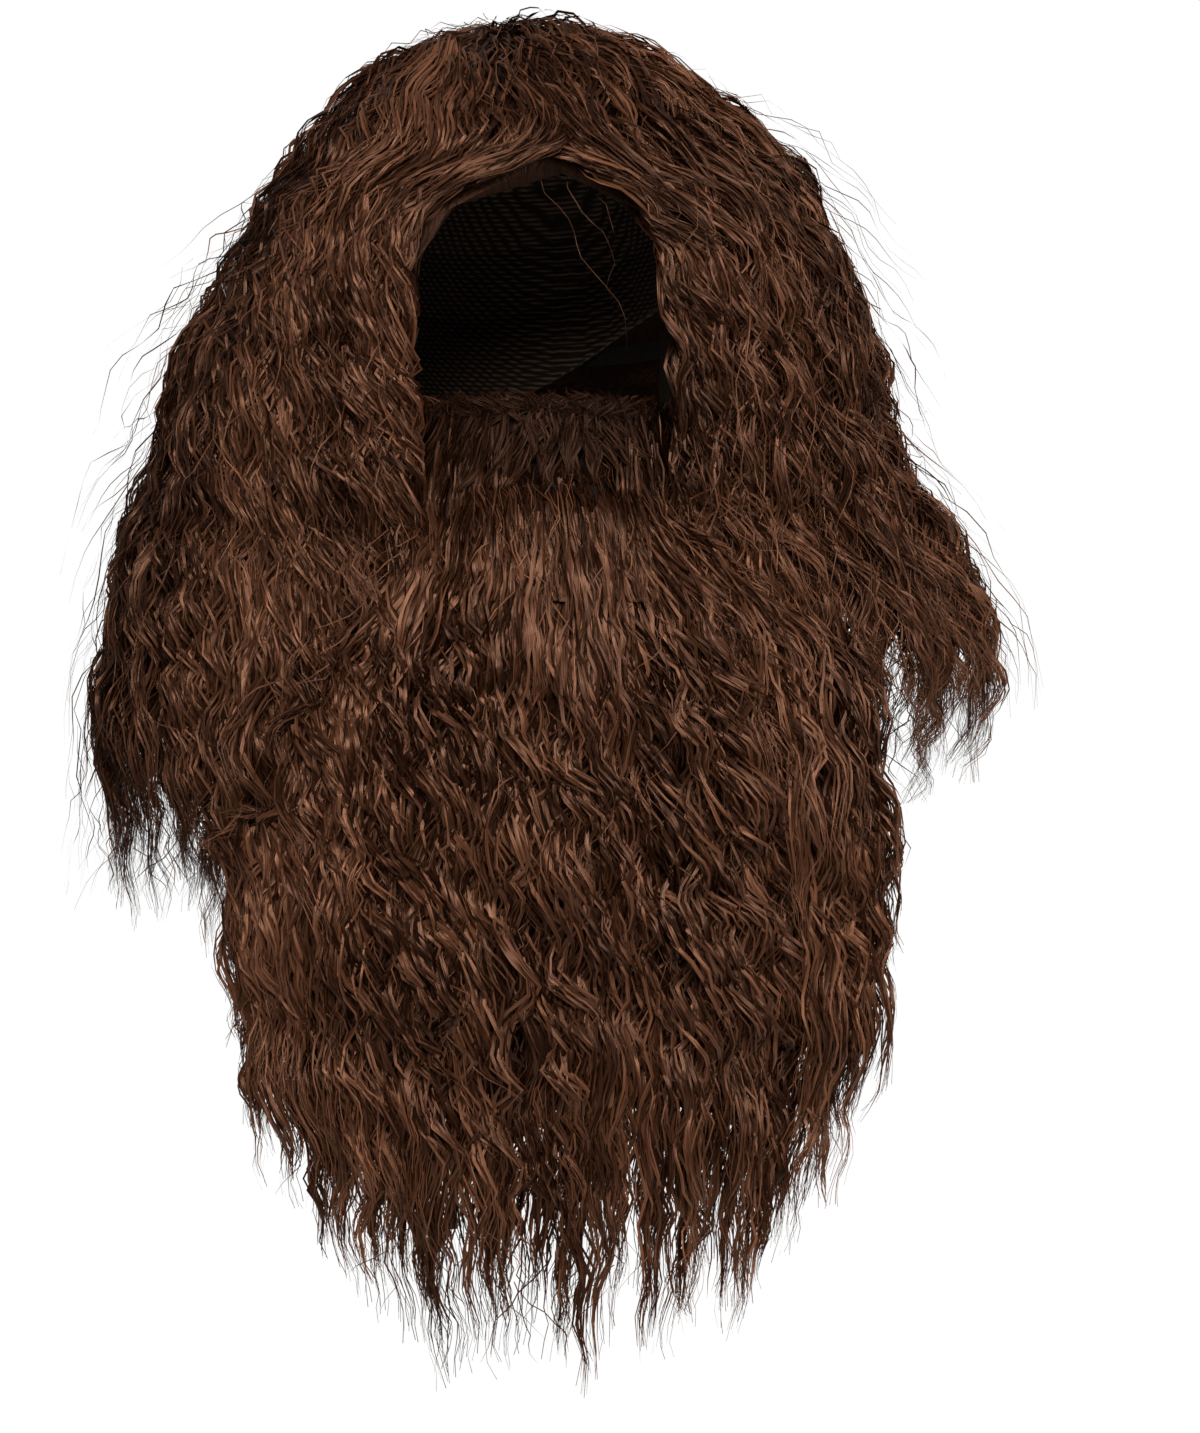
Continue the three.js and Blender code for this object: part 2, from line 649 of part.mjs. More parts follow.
addPiece('wig_cap', makeCap(), netBrown, 0.9);
addPiece('crown_hair', crown, darkBrown, 0.55);
addPiece('side_hair_right', fallBetween(-backTurn, undefined, 9), warmBrown, 0.55);
addPiece('side_hair_left', fallBetween(undefined, backTurn, 9), darkBrown, 0.55);
addPiece('back_hair', fallBetween(backTurn, 2 * Math.PI - backTurn, 8), darkBrown, 0.55);
addPiece('beard_base', makeMask(), netBrown, 0.9);
addPiece('beard_hair', beard, warmBrown, 0.55);
addPiece('moustache', moustache, darkBrown, 0.6);
addPiece('beard_strap', makeStrap(), netBrown, 0.8);

export default group;
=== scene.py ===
"""Wig with beard: a long crimped wig on a stretch cap and a full beard on a fabric mask.

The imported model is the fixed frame. Each mass of hair gets a smooth backing made from its own solid and
thousands of crimped fibres that lie on it in locks. Lengths are in metres, +Z is up and the front is -Y.
"""

from __future__ import annotations

import json
import logging
import math
from collections.abc import Callable
from dataclasses import dataclass, field
from enum import Enum

import bmesh
import bpy
import numpy as np
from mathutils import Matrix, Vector
from mathutils.bvhtree import BVHTree

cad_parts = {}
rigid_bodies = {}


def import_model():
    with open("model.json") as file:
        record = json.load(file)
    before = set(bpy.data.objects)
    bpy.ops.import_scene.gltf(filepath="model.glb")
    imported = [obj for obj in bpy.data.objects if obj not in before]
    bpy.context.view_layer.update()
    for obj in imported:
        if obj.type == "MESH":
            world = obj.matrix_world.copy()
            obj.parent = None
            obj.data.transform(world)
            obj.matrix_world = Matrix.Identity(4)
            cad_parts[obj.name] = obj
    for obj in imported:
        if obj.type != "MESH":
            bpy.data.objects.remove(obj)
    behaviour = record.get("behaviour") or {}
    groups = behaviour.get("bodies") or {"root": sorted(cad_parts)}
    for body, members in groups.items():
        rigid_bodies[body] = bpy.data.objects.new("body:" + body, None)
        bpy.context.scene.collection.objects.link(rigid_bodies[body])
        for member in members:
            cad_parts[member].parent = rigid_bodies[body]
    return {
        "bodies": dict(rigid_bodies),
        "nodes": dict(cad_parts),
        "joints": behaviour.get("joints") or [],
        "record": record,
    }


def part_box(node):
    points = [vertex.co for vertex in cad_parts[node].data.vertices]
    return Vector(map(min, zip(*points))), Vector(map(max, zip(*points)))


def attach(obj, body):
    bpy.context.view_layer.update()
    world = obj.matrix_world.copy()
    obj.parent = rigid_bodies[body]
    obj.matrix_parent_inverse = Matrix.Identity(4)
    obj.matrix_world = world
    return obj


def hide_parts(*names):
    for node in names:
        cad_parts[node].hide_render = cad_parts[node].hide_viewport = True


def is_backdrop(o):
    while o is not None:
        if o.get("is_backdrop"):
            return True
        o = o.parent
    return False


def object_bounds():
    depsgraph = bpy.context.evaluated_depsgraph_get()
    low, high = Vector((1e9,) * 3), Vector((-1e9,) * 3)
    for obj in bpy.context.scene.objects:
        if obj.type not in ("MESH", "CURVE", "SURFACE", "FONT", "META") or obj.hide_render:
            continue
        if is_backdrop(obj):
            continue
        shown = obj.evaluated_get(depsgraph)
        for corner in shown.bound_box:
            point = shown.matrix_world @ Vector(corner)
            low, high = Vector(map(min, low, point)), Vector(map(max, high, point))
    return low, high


log = logging.getLogger("wig_with_beard")

BODY = "root"
FIBRE_MAP = "OFBake"


class Side(Enum):
    """Side of the wearer, with the sign of its X."""

    RIGHT = -1
    LEFT = 1


class HairNode(Enum):
    """Hair solids of the frame."""

    CROWN = "crown_hair"
    RIGHT = "side_hair_right"
    LEFT = "side_hair_left"
    BACK = "back_hair"
    BEARD = "beard_hair"
    MOUSTACHE = "moustache"


def smooth_step(value: np.ndarray, start: float, end: float) -> np.ndarray:
    """Soft ramp.

    Args:
        value: Numbers to place on the ramp.
        start: Where the ramp leaves 0.
        end: Where the ramp reaches 1.

    Returns:
        Shares from 0 to 1.
    """
    share = np.clip((value - start) / (end - start), 0.0, 1.0)
    return share * share * (3.0 - 2.0 * share)


def unit(vectors: np.ndarray) -> np.ndarray:
    """Vectors of length one along the last axis."""
    return vectors / np.maximum(np.linalg.norm(vectors, axis=-1, keepdims=True), 1e-9)


def link(name: str, mesh: bpy.types.Mesh) -> bpy.types.Object:
    """Puts a mesh into the scene as an object at the origin.

    Args:
        name: Name of the piece.
        mesh: Its mesh, already in place.

    Returns:
        The new object.
    """
    piece = bpy.data.objects.new(name, mesh)
    bpy.context.scene.collection.objects.link(piece)
    return piece


class NodeGraph:
    """Short way to add and join shader nodes."""

    def __init__(self, name: str) -> None:
        """Starts an empty material.

        Args:
            name: Name of the material.
        """
        self.material = bpy.data.materials.new(name)
        self.material.use_nodes = True
        self.tree = self.material.node_tree
        self.tree.nodes.clear()

    def feed(self, socket: bpy.types.NodeSocket, value: object) -> None:
        """Joins an output to an input, or sets the input.

        Args:
            socket: The input.
            value: An output's socket or a value.
        """
        if isinstance(value, bpy.types.NodeSocket):
            self.tree.links.new(value, socket)
        else:
            socket.default_value = value

    def add(self, kind: str, **settings: object) -> bpy.types.Node:
        """Adds a node.

        Args:
            kind: Blender's node type.
            settings: The node's properties, or values or sockets for its inputs, with underscores for spaces.

        Returns:
            The node.
        """
        node = self.tree.nodes.new(kind)
        for key, value in settings.items():
            if hasattr(node, key):
                setattr(node, key, value)
            else:
                self.feed(node.inputs[key.replace("_", " ")], value)
        return node

    def object_place(self) -> bpy.types.NodeSocket:
        """Object coordinates."""
        return self.add("ShaderNodeTexCoord").outputs["Object"]

    def math(self, operation: str, *values: object) -> bpy.types.NodeSocket:
        """Adds a Math node.

        Args:
            operation: Blender's name of the operation.
            values: Sockets or numbers for its inputs.

        Returns:
            The result's socket.
        """
        node = self.add("ShaderNodeMath", operation=operation)
        for socket, value in zip(node.inputs, values):
            self.feed(socket, value)
        return node.outputs[0]

    def noise(
        self, place: bpy.types.NodeSocket, scale: float, detail: float, distortion: float = 0.0
    ) -> bpy.types.NodeSocket:
        """Adds a noise pattern and gives its strength."""
        node = self.add("ShaderNodeTexNoise", Vector=place, Scale=scale, Detail=detail, Distortion=distortion)
        return node.outputs["Fac"]

    def bump(self, height: bpy.types.NodeSocket, strength: float, distance: float) -> bpy.types.NodeSocket:
        """Adds relief and gives its normal."""
        node = self.add("ShaderNodeBump", Height=height, Strength=strength, Distance=distance)
        return node.outputs["Normal"]

    def ramp(self, share: bpy.types.NodeSocket, stops: list[tuple[float, tuple]]) -> bpy.types.NodeSocket:
        """Adds a colour ramp.

        Args:
            share: Socket that drives the ramp.
            stops: Place and linear RGB colour of each stop.

        Returns:
            The colour's socket.
        """
        node = self.add("ShaderNodeValToRGB", Fac=share)
        elements = node.color_ramp.elements
        while len(elements) < len(stops):
            elements.new(0.5)
        for element, (place, colour) in zip(elements, stops):
            element.position = place
            element.color = (*colour, 1.0)
        return node.outputs["Color"]

    def finish(self, colour: object, **settings: object) -> bpy.types.Material:
        """Ends the material with a Principled shader.

        Args:
            colour: Socket or value of its base colour.
            settings: Values or sockets for its other inputs.

        Returns:
            The material.
        """
        shader = self.add("ShaderNodeBsdfPrincipled", Base_Color=colour, **settings)
        self.add("ShaderNodeOutputMaterial", Surface=shader.outputs[0])
        return self.material


@dataclass(frozen=True)
class FibreFinish:
    """Crimped synthetic fibre: each ribbon shows a few fine hairs, tinted from lock to lock, with the deeper
    locks darker as painted shade.
    """

    name: str
    shade: tuple = (0.005, 0.0017, 0.0008)
    body: tuple = (0.0275, 0.0092, 0.0041)
    light: tuple = (0.13, 0.052, 0.026)
    sheen_tint: tuple = (1.0, 0.5, 0.31, 1.0)
    roughness: float = 0.3
    anisotropy: float = 0.5
    specular: float = 0.45
    patch_scale: float = 13.0
    patch_strength: float = 0.9
    hairs: float = 2.6
    hair_strength: float = 1.8
    changes_along: float = 28.0

    def build(self) -> bpy.types.Material:
        """Makes the material.

        Returns:
            A material that reads the fibre's tint and grain attributes, its own map and Object coordinates.
        """
        graph = NodeGraph(self.name)
        tint = graph.add("ShaderNodeAttribute", attribute_name="tint").outputs["Fac"]
        grain = graph.add("ShaderNodeAttribute", attribute_name="grain").outputs["Vector"]
        patch = graph.noise(graph.object_place(), self.patch_scale, 2.0)
        along = graph.add("ShaderNodeMapping", Vector=grain, Scale=(self.hairs, self.changes_along, 1.0))
        hair = graph.noise(along.outputs["Vector"], 1.0, 2.0)
        share = tint
        for pattern, strength in ((patch, self.patch_strength), (hair, self.hair_strength)):
            share = graph.math("ADD", share, graph.math("MULTIPLY_ADD", pattern, strength, -strength / 2))
        colour = graph.ramp(share, [(0.0, self.shade), (0.45, self.body), (1.0, self.light)])
        tangent = graph.add("ShaderNodeTangent", direction_type="UV_MAP", uv_map=FIBRE_MAP)
        return graph.finish(
            colour, Roughness=self.roughness, Anisotropic=self.anisotropy, Specular_IOR_Level=self.specular,
            Specular_Tint=self.sheen_tint, Normal=graph.bump(hair, 0.5, 0.0006),
            Tangent=tangent.outputs["Tangent"],
        )


@dataclass(frozen=True)
class ShadeBackingFinish:
    """Hair seen between the locks, darkened as painted shade: fine upright streaks with low relief."""

    name: str
    # Both colours are darker than the fibres' own: painted shade where the backing shows between the locks.
    shade: tuple = (0.005, 0.0018, 0.0009)
    body: tuple = (0.018, 0.0064, 0.003)
    sheen_tint: tuple = (1.0, 0.55, 0.36, 1.0)
    streaks: tuple = (420.0, 420.0, 16.0)
    wave_length: float = 0.04
    wave_height: float = 0.004
    drift_scale: float = 22.0
    drift_strength: float = 9.0

    def build(self) -> bpy.types.Material:
        """Makes the material.

        Returns:
            A material on Object coordinates.
        """
        graph = NodeGraph(self.name)
        place = graph.object_place()
        parts = graph.add("ShaderNodeSeparateXYZ", Vector=place).outputs
        phase = graph.math("MULTIPLY", graph.noise(place, self.drift_scale, 1.0), self.drift_strength)
        turn = graph.math("MULTIPLY_ADD", parts["Z"], 2 * math.pi / self.wave_length, phase)
        swing = graph.math("MULTIPLY", graph.math("SINE", turn), self.wave_height)
        x, y = (graph.math("ADD", parts[axis], swing) for axis in "XY")
        moved = graph.add("ShaderNodeCombineXYZ", X=x, Y=y, Z=parts["Z"])
        stretch = graph.add("ShaderNodeMapping", Vector=moved.outputs["Vector"], Scale=self.streaks)
        streak = graph.noise(stretch.outputs["Vector"], 1.0, 3.0, 0.4)
        colour = graph.ramp(streak, [(0.3, self.shade), (0.75, self.body)])
        return graph.finish(
            colour, Roughness=0.5, Specular_IOR_Level=0.18, Specular_Tint=self.sheen_tint,
            Normal=graph.bump(streak, 0.7, 0.0015),
        )


@dataclass(frozen=True)
class FabricFinish:
    """Knitted or braided fabric: two sets of fine ribs that cross, with a little sheen."""

    name: str
    shade: tuple
    body: tuple
    rib_pitch: float
    roughness: float = 0.85

    def build(self) -> bpy.types.Material:
        """Makes the material.

        Returns:
            A material on Object coordinates.
        """
        graph = NodeGraph(self.name)
        pattern = {"wave_type": "BANDS", "Scale": 0.31 / self.rib_pitch, "Distortion": 1.5}
        pattern["Vector"] = graph.object_place()
        ribs = [
            graph.add("ShaderNodeTexWave", bands_direction=direction, **pattern).outputs["Fac"]
            for direction in ("Z", "DIAGONAL")
        ]
        weave = graph.math("MULTIPLY", *ribs)
        colour = graph.ramp(weave, [(0.05, self.shade), (0.8, self.body)])
        relief = graph.bump(weave, 0.6, self.rib_pitch * 0.4)
        return graph.finish(colour, Roughness=self.roughness, Specular_IOR_Level=0.15, Normal=relief)


def tree_of(frame: dict, *nodes: str) -> BVHTree:
    """Search tree of some solids of the frame.

    Args:
        frame: The loaded frame.
        nodes: Names of the solids.

    Returns:
        One tree over all their faces.
    """
    corners, faces = [], []
    for name in nodes:
        mesh = frame["nodes"][name].data
        start = len(corners)
        corners.extend(vertex.co.copy() for vertex in mesh.vertices)
        faces.extend([start + index for index in face.vertices] for face in mesh.polygons)
    return BVHTree.FromPolygons(corners, faces)


def blur(grid: np.ndarray, axis: int, is_loop: bool, passes: int) -> np.ndarray:
    """Averages a grid with its neighbours along one axis.

    Args:
        grid: Numbers to smooth.
        axis: Axis to smooth along.
        is_loop: Whether the last entry meets the first.
        passes: How many times.

    Returns:
        The smoothed grid.
    """
    mode = "wrap" if is_loop else "edge"
    for _ in range(passes):
        pad = [(1, 1) if index == axis else (0, 0) for index in range(grid.ndim)]
        wide = np.pad(grid, pad, mode=mode)
        count = grid.shape[axis]
        low, mid, high = (np.take(wide, range(k, k + count), axis=axis) for k in range(3))
        grid = 0.25 * low + 0.5 * mid + 0.25 * high
    return grid


def sliding(grid: np.ndarray, reach: int, pick: Callable) -> np.ndarray:
    """Least or greatest of each entry and its neighbours along the last axis.

    Args:
        grid: Numbers to look through.
        reach: Neighbours on each side that count.
        pick: np.min or np.max.

    Returns:
        A grid of the same shape.
    """
    count = grid.shape[-1]
    wide = np.pad(grid, [(0, 0)] * (grid.ndim - 1) + [(reach, reach)], mode="edge")
    return pick([wide[..., shift : shift + count] for shift in range(2 * reach + 1)], axis=0)


def length_along(lines: np.ndarray) -> np.ndarray:
    """Distance of every point of some lines from its line's first point."""
    steps = np.linalg.norm(np.diff(lines, axis=1), axis=2)
    return np.concatenate([np.zeros((len(lines), 1)), np.cumsum(steps, axis=1)], axis=1)


@dataclass
class HairSurface:
    """Grid of points on the outside of a mass of hair, across (-1 to 1) and down (metres from the roots)."""

    points: np.ndarray
    depth: float

    def at(self, across: np.ndarray, down: np.ndarray) -> tuple[np.ndarray, np.ndarray, np.ndarray]:
        """Reads the surface between its grid points.

        Args:
            across: Places across, from -1 to 1.
            down: Distances from the roots.

        Returns:
            Points, directions to the wearer's left along the surface, and outward directions.
        """
        columns, rows = self.points.shape[:2]
        u = np.clip((across + 1) / 2, 0, 1) * (columns - 1)
        v = np.clip(down / self.depth, 0, 1) * (rows - 1)
        i = np.clip(u.astype(int), 0, columns - 2)
        j = np.clip(v.astype(int), 0, rows - 2)
        fu = (u - i)[..., None]
        fv = (v - j)[..., None]
        p00, p10 = self.points[i, j], self.points[i + 1, j]
        p01, p11 = self.points[i, j + 1], self.points[i + 1, j + 1]
        point = (p00 * (1 - fu) + p10 * fu) * (1 - fv) + (p01 * (1 - fu) + p11 * fu) * fv
        sideways = unit((p10 - p00) * (1 - fv) + (p11 - p01) * fv)
        downward = unit((p01 - p00) * (1 - fu) + (p11 - p10) * fu)
        return point, sideways, unit(np.cross(downward, sideways))


class ReadSurface:
    """What the surfaces read by rays share: a number of columns across and the lowest hair in each."""

    columns: int
    lowest: np.ndarray

    def across_line(self, across: np.ndarray, values: np.ndarray) -> np.ndarray:
        """Reads values that are known at every column for places across."""
        return np.interp(across, np.linspace(-1, 1, self.columns), values)

    def length_at(self, across: np.ndarray) -> np.ndarray:
        """Distance from the top to the tips for places across."""
        return self.across_line(across, self.lowest)


@dataclass
class WigSurface(ReadSurface):
    """Outside of the wig's hair, read from its solids by rays towards the middle of the cap."""

    frame: dict
    head_middle: float = -0.1
    dome_length: float = 0.22
    fall_length: float = 0.37
    turns: int = 144
    rows: int = 98
    far: float = 0.5
    least_reach: float = 0.055
    columns: int = 181
    chin_drop: float = 0.185
    edge_narrowing: float = 0.8
    spread_columns: int = 14
    edge_margins: dict = field(default_factory=lambda: {Side.RIGHT: 0.03, Side.LEFT: 0.0})
    edges: dict = field(init=False)
    lowest: np.ndarray = field(init=False)
    surface: HairSurface = field(init=False)

    def __post_init__(self) -> None:
        """Reads the reach of the hair and lays the grid of points over it."""
        wig = (HairNode.CROWN, HairNode.RIGHT, HairNode.LEFT, HairNode.BACK)
        reach, is_hair = self._reach(*wig)
        self.edges = self._face_edges(is_hair)
        self.lowest = np.zeros(self.columns)
        beard_reach, is_beard = self._reach(HairNode.BEARD)
        is_open = ~is_hair & is_beard
        reach[is_open] = beard_reach[is_open]
        self.surface = self._lay_grid(self._fill(reach, is_hair | is_open), is_hair)

    @property
    def depth(self) -> float:
        """Length of the longest way from the pole down to the tips."""
        return self.dome_length + self.fall_length

    @property
    def chin_row(self) -> int:
        """Row of the grid at the height where the side hair starts to lie on the beard."""
        down = self.dome_length + self.chin_drop + self.head_middle
        return round(down / self.depth * (self.rows - 1))

    def _ray(self, turn: float, down: float) -> tuple[Vector, Vector]:
        """Ray that reads one place of the hair.

        Args:
            turn: Turn round the cap from the front.
            down: Distance from the pole.

        Returns:
            Middle point and outward direction.
        """
        polar = min(down / self.dome_length, 1.0) * math.pi / 2
        middle = Vector((0, 0, self.head_middle - max(0.0, down - self.dome_length)))
        flat = math.sin(polar)
        return middle, Vector((math.sin(turn) * flat, -math.cos(turn) * flat, math.cos(polar)))

    def _reach(self, *nodes: HairNode) -> tuple[np.ndarray, np.ndarray]:
        """Reads the outside of some solids.

        Args:
            nodes: The solids.

        Returns:
            Reach of the outside along each ray, and whether the ray meets them.
        """
        tree = tree_of(self.frame, *(node.value for node in nodes))
        reach = np.zeros((self.turns, self.rows))
        for column in range(self.turns):
            turn = 2 * math.pi * column / self.turns
            for row in range(self.rows):
                middle, outward = self._ray(turn, self.depth * row / (self.rows - 1))
                hit = tree.ray_cast(middle + outward * self.far, -outward, self.far - self.least_reach)
                reach[column, row] = self.far - hit[3] if hit[0] is not None else 0.0
        return reach, reach > 0

    def _face_edges(self, is_hair: np.ndarray) -> dict[Side, np.ndarray]:
        """Finds the hair's front edges.

        Args:
            is_hair: Where the rays meet hair.

        Returns:
            Turn of the edge on each side, for every row.
        """
        edges = {}
        for side in Side:
            edge = np.zeros(self.rows)
            for row in range(self.rows):
                order = [(side.value * step) % self.turns for step in range(self.turns // 3)]
                steps = [step for step, column in enumerate(order) if is_hair[column, row]]
                edge[row] = (steps[0] if steps else self.turns // 8) * 2 * math.pi / self.turns
            held = edge[self.chin_row]
            edge[self.chin_row :] = held * np.linspace(1.0, self.edge_narrowing, self.rows - self.chin_row)
            wide = np.max([np.roll(edge, shift) for shift in (-1, 0, 1)], axis=0)
            margin = self.edge_margins[side] * (wide > 0.05)
            edges[side] = blur(wide + margin, 0, False, 2)
        return edges

    def _fill(self, reach: np.ndarray, is_hair: np.ndarray) -> np.ndarray:
        """Fills the face opening and the gaps between the tips from what lies beside and above them.

        Args:
            reach: Reach of the hair along each ray.
            is_hair: Where it is known.

        Returns:
            A smooth reach for every ray.
        """
        filled = reach.copy()
        places = np.arange(self.turns)
        for row in range(self.rows):
            good = is_hair[:, row]
            if good.sum() > self.turns // 3:
                level = np.interp(places, places[good], reach[good, row], period=self.turns)
                held = np.where(good, reach[:, row], filled[:, row - 1] if row else level)
                filled[:, row] = np.where(good, held, 0.95 * held + 0.05 * level)
            else:
                filled[:, row] = filled[:, row - 1]
        return blur(blur(filled, 0, True, 3), 1, False, 2)

    def _lay_grid(self, reach: np.ndarray, is_hair: np.ndarray) -> HairSurface:
        """Lays lines of flow over the reach, parted at the front round the face opening.

        Args:
            reach: Reach of the hair along each ray.
            is_hair: Where the rays meet hair, which gives the length of each line.

        Returns:
            The surface.
        """
        across = np.linspace(-1, 1, self.columns)
        points = np.zeros((self.columns, self.rows, 3))
        for row in range(self.rows):
            down = self.depth * row / (self.rows - 1)
            for column, share in enumerate(across):
                side = Side.RIGHT if share < 0 else Side.LEFT
                edge = self.edges[side][row] * (1 - abs(share)) ** 3
                turn = side.value * (abs(share) * math.pi + edge)
                middle, outward = self._ray(turn, down)
                place = (turn / (2 * math.pi) * self.turns) % self.turns
                low = int(place)
                part = place - low
                size = reach[low, row] * (1 - part) + reach[(low + 1) % self.turns, row] * part
                points[column, row] = middle + outward * size
                if is_hair[low, row]:
                    self.lowest[column] = down
        middle_column = self.columns // 2
        for half in (slice(0, middle_column), slice(middle_column, self.columns)):
            self.lowest[half] = sliding(self.lowest[half], self.spread_columns, np.max)
        self.lowest = blur(self.lowest, 0, False, 2)
        return HairSurface(points, self.depth)


def half_widths(frame: dict, levels: np.ndarray, side: Side, least: float) -> np.ndarray:
    """Half width of the beard on one side at some levels.

    Args:
        frame: The loaded frame.
        levels: Heights, from the top down.
        side: Side of the wearer.
        least: Half width at the roots, which no level goes under.

    Returns:
        Half width at each level.
    """
    band, inset = 0.016, 0.009
    mesh = frame["nodes"][HairNode.BEARD.value].data
    corners = np.array([vertex.co for vertex in mesh.vertices])
    known = np.full(len(levels), np.nan)
    for index, level in enumerate(levels):
        near = corners[np.abs(corners[:, 2] - level) < band]
        if len(near):
            known[index] = (near[:, 0] * side.value).max()
    rows = np.arange(len(levels))
    good = ~np.isnan(known)
    halves = np.interp(rows, rows[good], known[good])
    widest = int(np.argmax(halves))
    narrowing = 0.98 - 0.16 * np.linspace(0, 1, len(levels) - widest) ** 2
    halves[widest:] = np.maximum(halves[widest:], halves[widest] * narrowing)
    return blur(np.maximum(halves - inset, least), 0, False, 4)


@dataclass
class FrontSurface(ReadSurface):
    """Outside of what lies at the front between two heights, read by rays from the front."""

    frame: dict
    targets: tuple[str, ...]
    levels: np.ndarray
    right_half: np.ndarray
    left_half: np.ndarray
    is_back: bool = False
    bridge_rows: int = 0
    tip_reach: int = 5
    columns: int = 121
    far: float = 0.5
    bend: float = math.radians(75)
    surface: HairSurface = field(init=False)
    lowest: np.ndarray = field(init=False)

    def __post_init__(self) -> None:
        """Lays the grid of points over the solids."""
        tree = tree_of(self.frame, *self.targets)
        away = -1 if self.is_back else 1
        ray_length = self.far + (0.14 if self.is_back else -0.04)
        points = np.full((self.columns, len(self.levels), 3), np.nan)
        for row, level in enumerate(self.levels):
            for column, share in enumerate(np.linspace(-1, 1, self.columns)):
                half = self.right_half[row] if share < 0 else self.left_half[row]
                x = half * math.sin(share * self.bend) / math.sin(self.bend)
                hit = tree.ray_cast(Vector((x, -away * self.far, level)), Vector((0, away, 0)), ray_length)
                points[column, row] = (x, hit[0].y if hit[0] is not None else np.nan, level)
        down = self.levels[0] - self.levels
        is_hair = ~np.isnan(points[:, :, 1])
        self.lowest = np.array([down[line].max() if line.any() else 0.0 for line in is_hair])
        self._fill(points)
        if self.bridge_rows:
            points[:, :, 1] = self._bridge(points[:, :, 1])
        if self.is_back:
            points = points[::-1]
            self.lowest = self.lowest[::-1]
        self.surface = HairSurface(points, self.levels[0] - self.levels[-1])

    def _fill(self, points: np.ndarray) -> None:
        """Fills the gaps between the tips and smooths the reach.

        Args:
            points: Grid of points, with no Y where no ray met hair; changed in place.
        """
        columns = np.arange(self.columns)
        rows = range(points.shape[1])
        known = [row for row in rows if (~np.isnan(points[:, row, 1])).sum() > self.columns // 3]
        for row in rows:
            line = points[:, row, 1].copy()
            good = ~np.isnan(line)
            if row < known[0]:
                first = points[:, known[0], 1]
                good = ~np.isnan(first)
                points[:, row, 1] = np.interp(columns, columns[good], first[good])
            elif good.sum() > 3:
                level = np.interp(columns, columns[good], line[good])
                above = points[:, row - 1, 1] if row else level
                points[:, row, 1] = np.where(good, line, 0.6 * above + 0.4 * level)
            else:
                points[:, row, 1] = points[:, row - 1, 1]
        points[:, :, 1] = blur(blur(points[:, :, 1], 0, False, 4), 1, False, 3)

    def _bridge(self, reach: np.ndarray) -> np.ndarray:
        """Lets the surface hang over narrow hollows, as hair does.

        Args:
            reach: Y of the grid's points.

        Returns:
            The same with the hollows filled.
        """
        for pick in (np.min, np.max):
            reach = sliding(reach, self.bridge_rows, pick)
        return blur(reach, 1, False, 3)

    def envelope_at(self, across: np.ndarray) -> np.ndarray:
        """Distance from the top to a smooth line through the pointed tips, for places across."""
        line = blur(sliding(self.lowest, self.tip_reach, np.max), 0, False, 6)
        return self.across_line(across, line)

    def tip_points(self) -> np.ndarray:
        """Finds the pointed tips, where the hair hangs lower than on both sides.

        Returns:
            Their places across.
        """
        low, mid, high = self.lowest[:-2], self.lowest[1:-1], self.lowest[2:]
        peaks = np.where((mid >= low) & (mid > high))[0] + 1
        return np.linspace(-1, 1, self.columns)[peaks]

    def x_at(self, across: np.ndarray) -> np.ndarray:
        """X of places across, at the top."""
        return self.across_line(across, self.surface.points[:, 0, 0])


@dataclass(frozen=True)
class LockStyle:
    """How the fibres of one mass of hair lie: lengths are in metres, shares are of a fibre's own length."""

    locks: int
    fibres: int
    steps: int
    start: tuple[float, float]
    length: tuple[float, float]
    spread: float = 0.008
    tip_spread: float = 0.2
    layer_depth: tuple[float, float] = (-0.004, 0.007)
    crimp_height: float = 0.0032
    crimp_length: tuple[float, float] = (0.034, 0.05)
    crimp_from: float = 0.04
    fibre_width: float = 0.0011
    frizz: float = 0.0006
    tint: tuple[float, float] = (0.27, 0.7)
    root_scatter: float = 0.006
    raggedness: float = 0.05
    wander: float = 0.012
    tip_calm: float = 0.5
    least_across: float = 0.014
    tuck: float = 0.006
    lift: tuple[float, float] = (0.0, 0.003)
    dark_root: float = 0.02
    edge_room: float | None = None
    inward: tuple[float, float] = (0.0, 0.0)
    seed: int = 1


class LockDraws:
    """Random places and lengths for the locks of one piece."""

    def __init__(self, style: LockStyle) -> None:
        """Starts the draws from the seed of a style."""
        self.style = style
        self.source = np.random.default_rng(style.seed + 100)

    def between(self, low: float, high: float) -> np.ndarray:
        """Number between two limits for each lock."""
        return self.source.uniform(low, high, self.style.locks)

    def around(self, middle: float, spread: float) -> np.ndarray:
        """Number near a middle for each lock."""
        return self.source.normal(middle, spread, self.style.locks)

    def evenly(self, low: float, high: float, scatter: float = 0.01) -> np.ndarray:
        """Even places with a little scatter."""
        return np.linspace(low, high, self.style.locks) + self.between(-scatter, scatter)

    def starts(self) -> np.ndarray:
        """Where each lock starts, by its style."""
        return self.between(*self.style.start)

    def lengths(self) -> np.ndarray:
        """How long each lock is, by its style."""
        return self.between(*self.style.length)


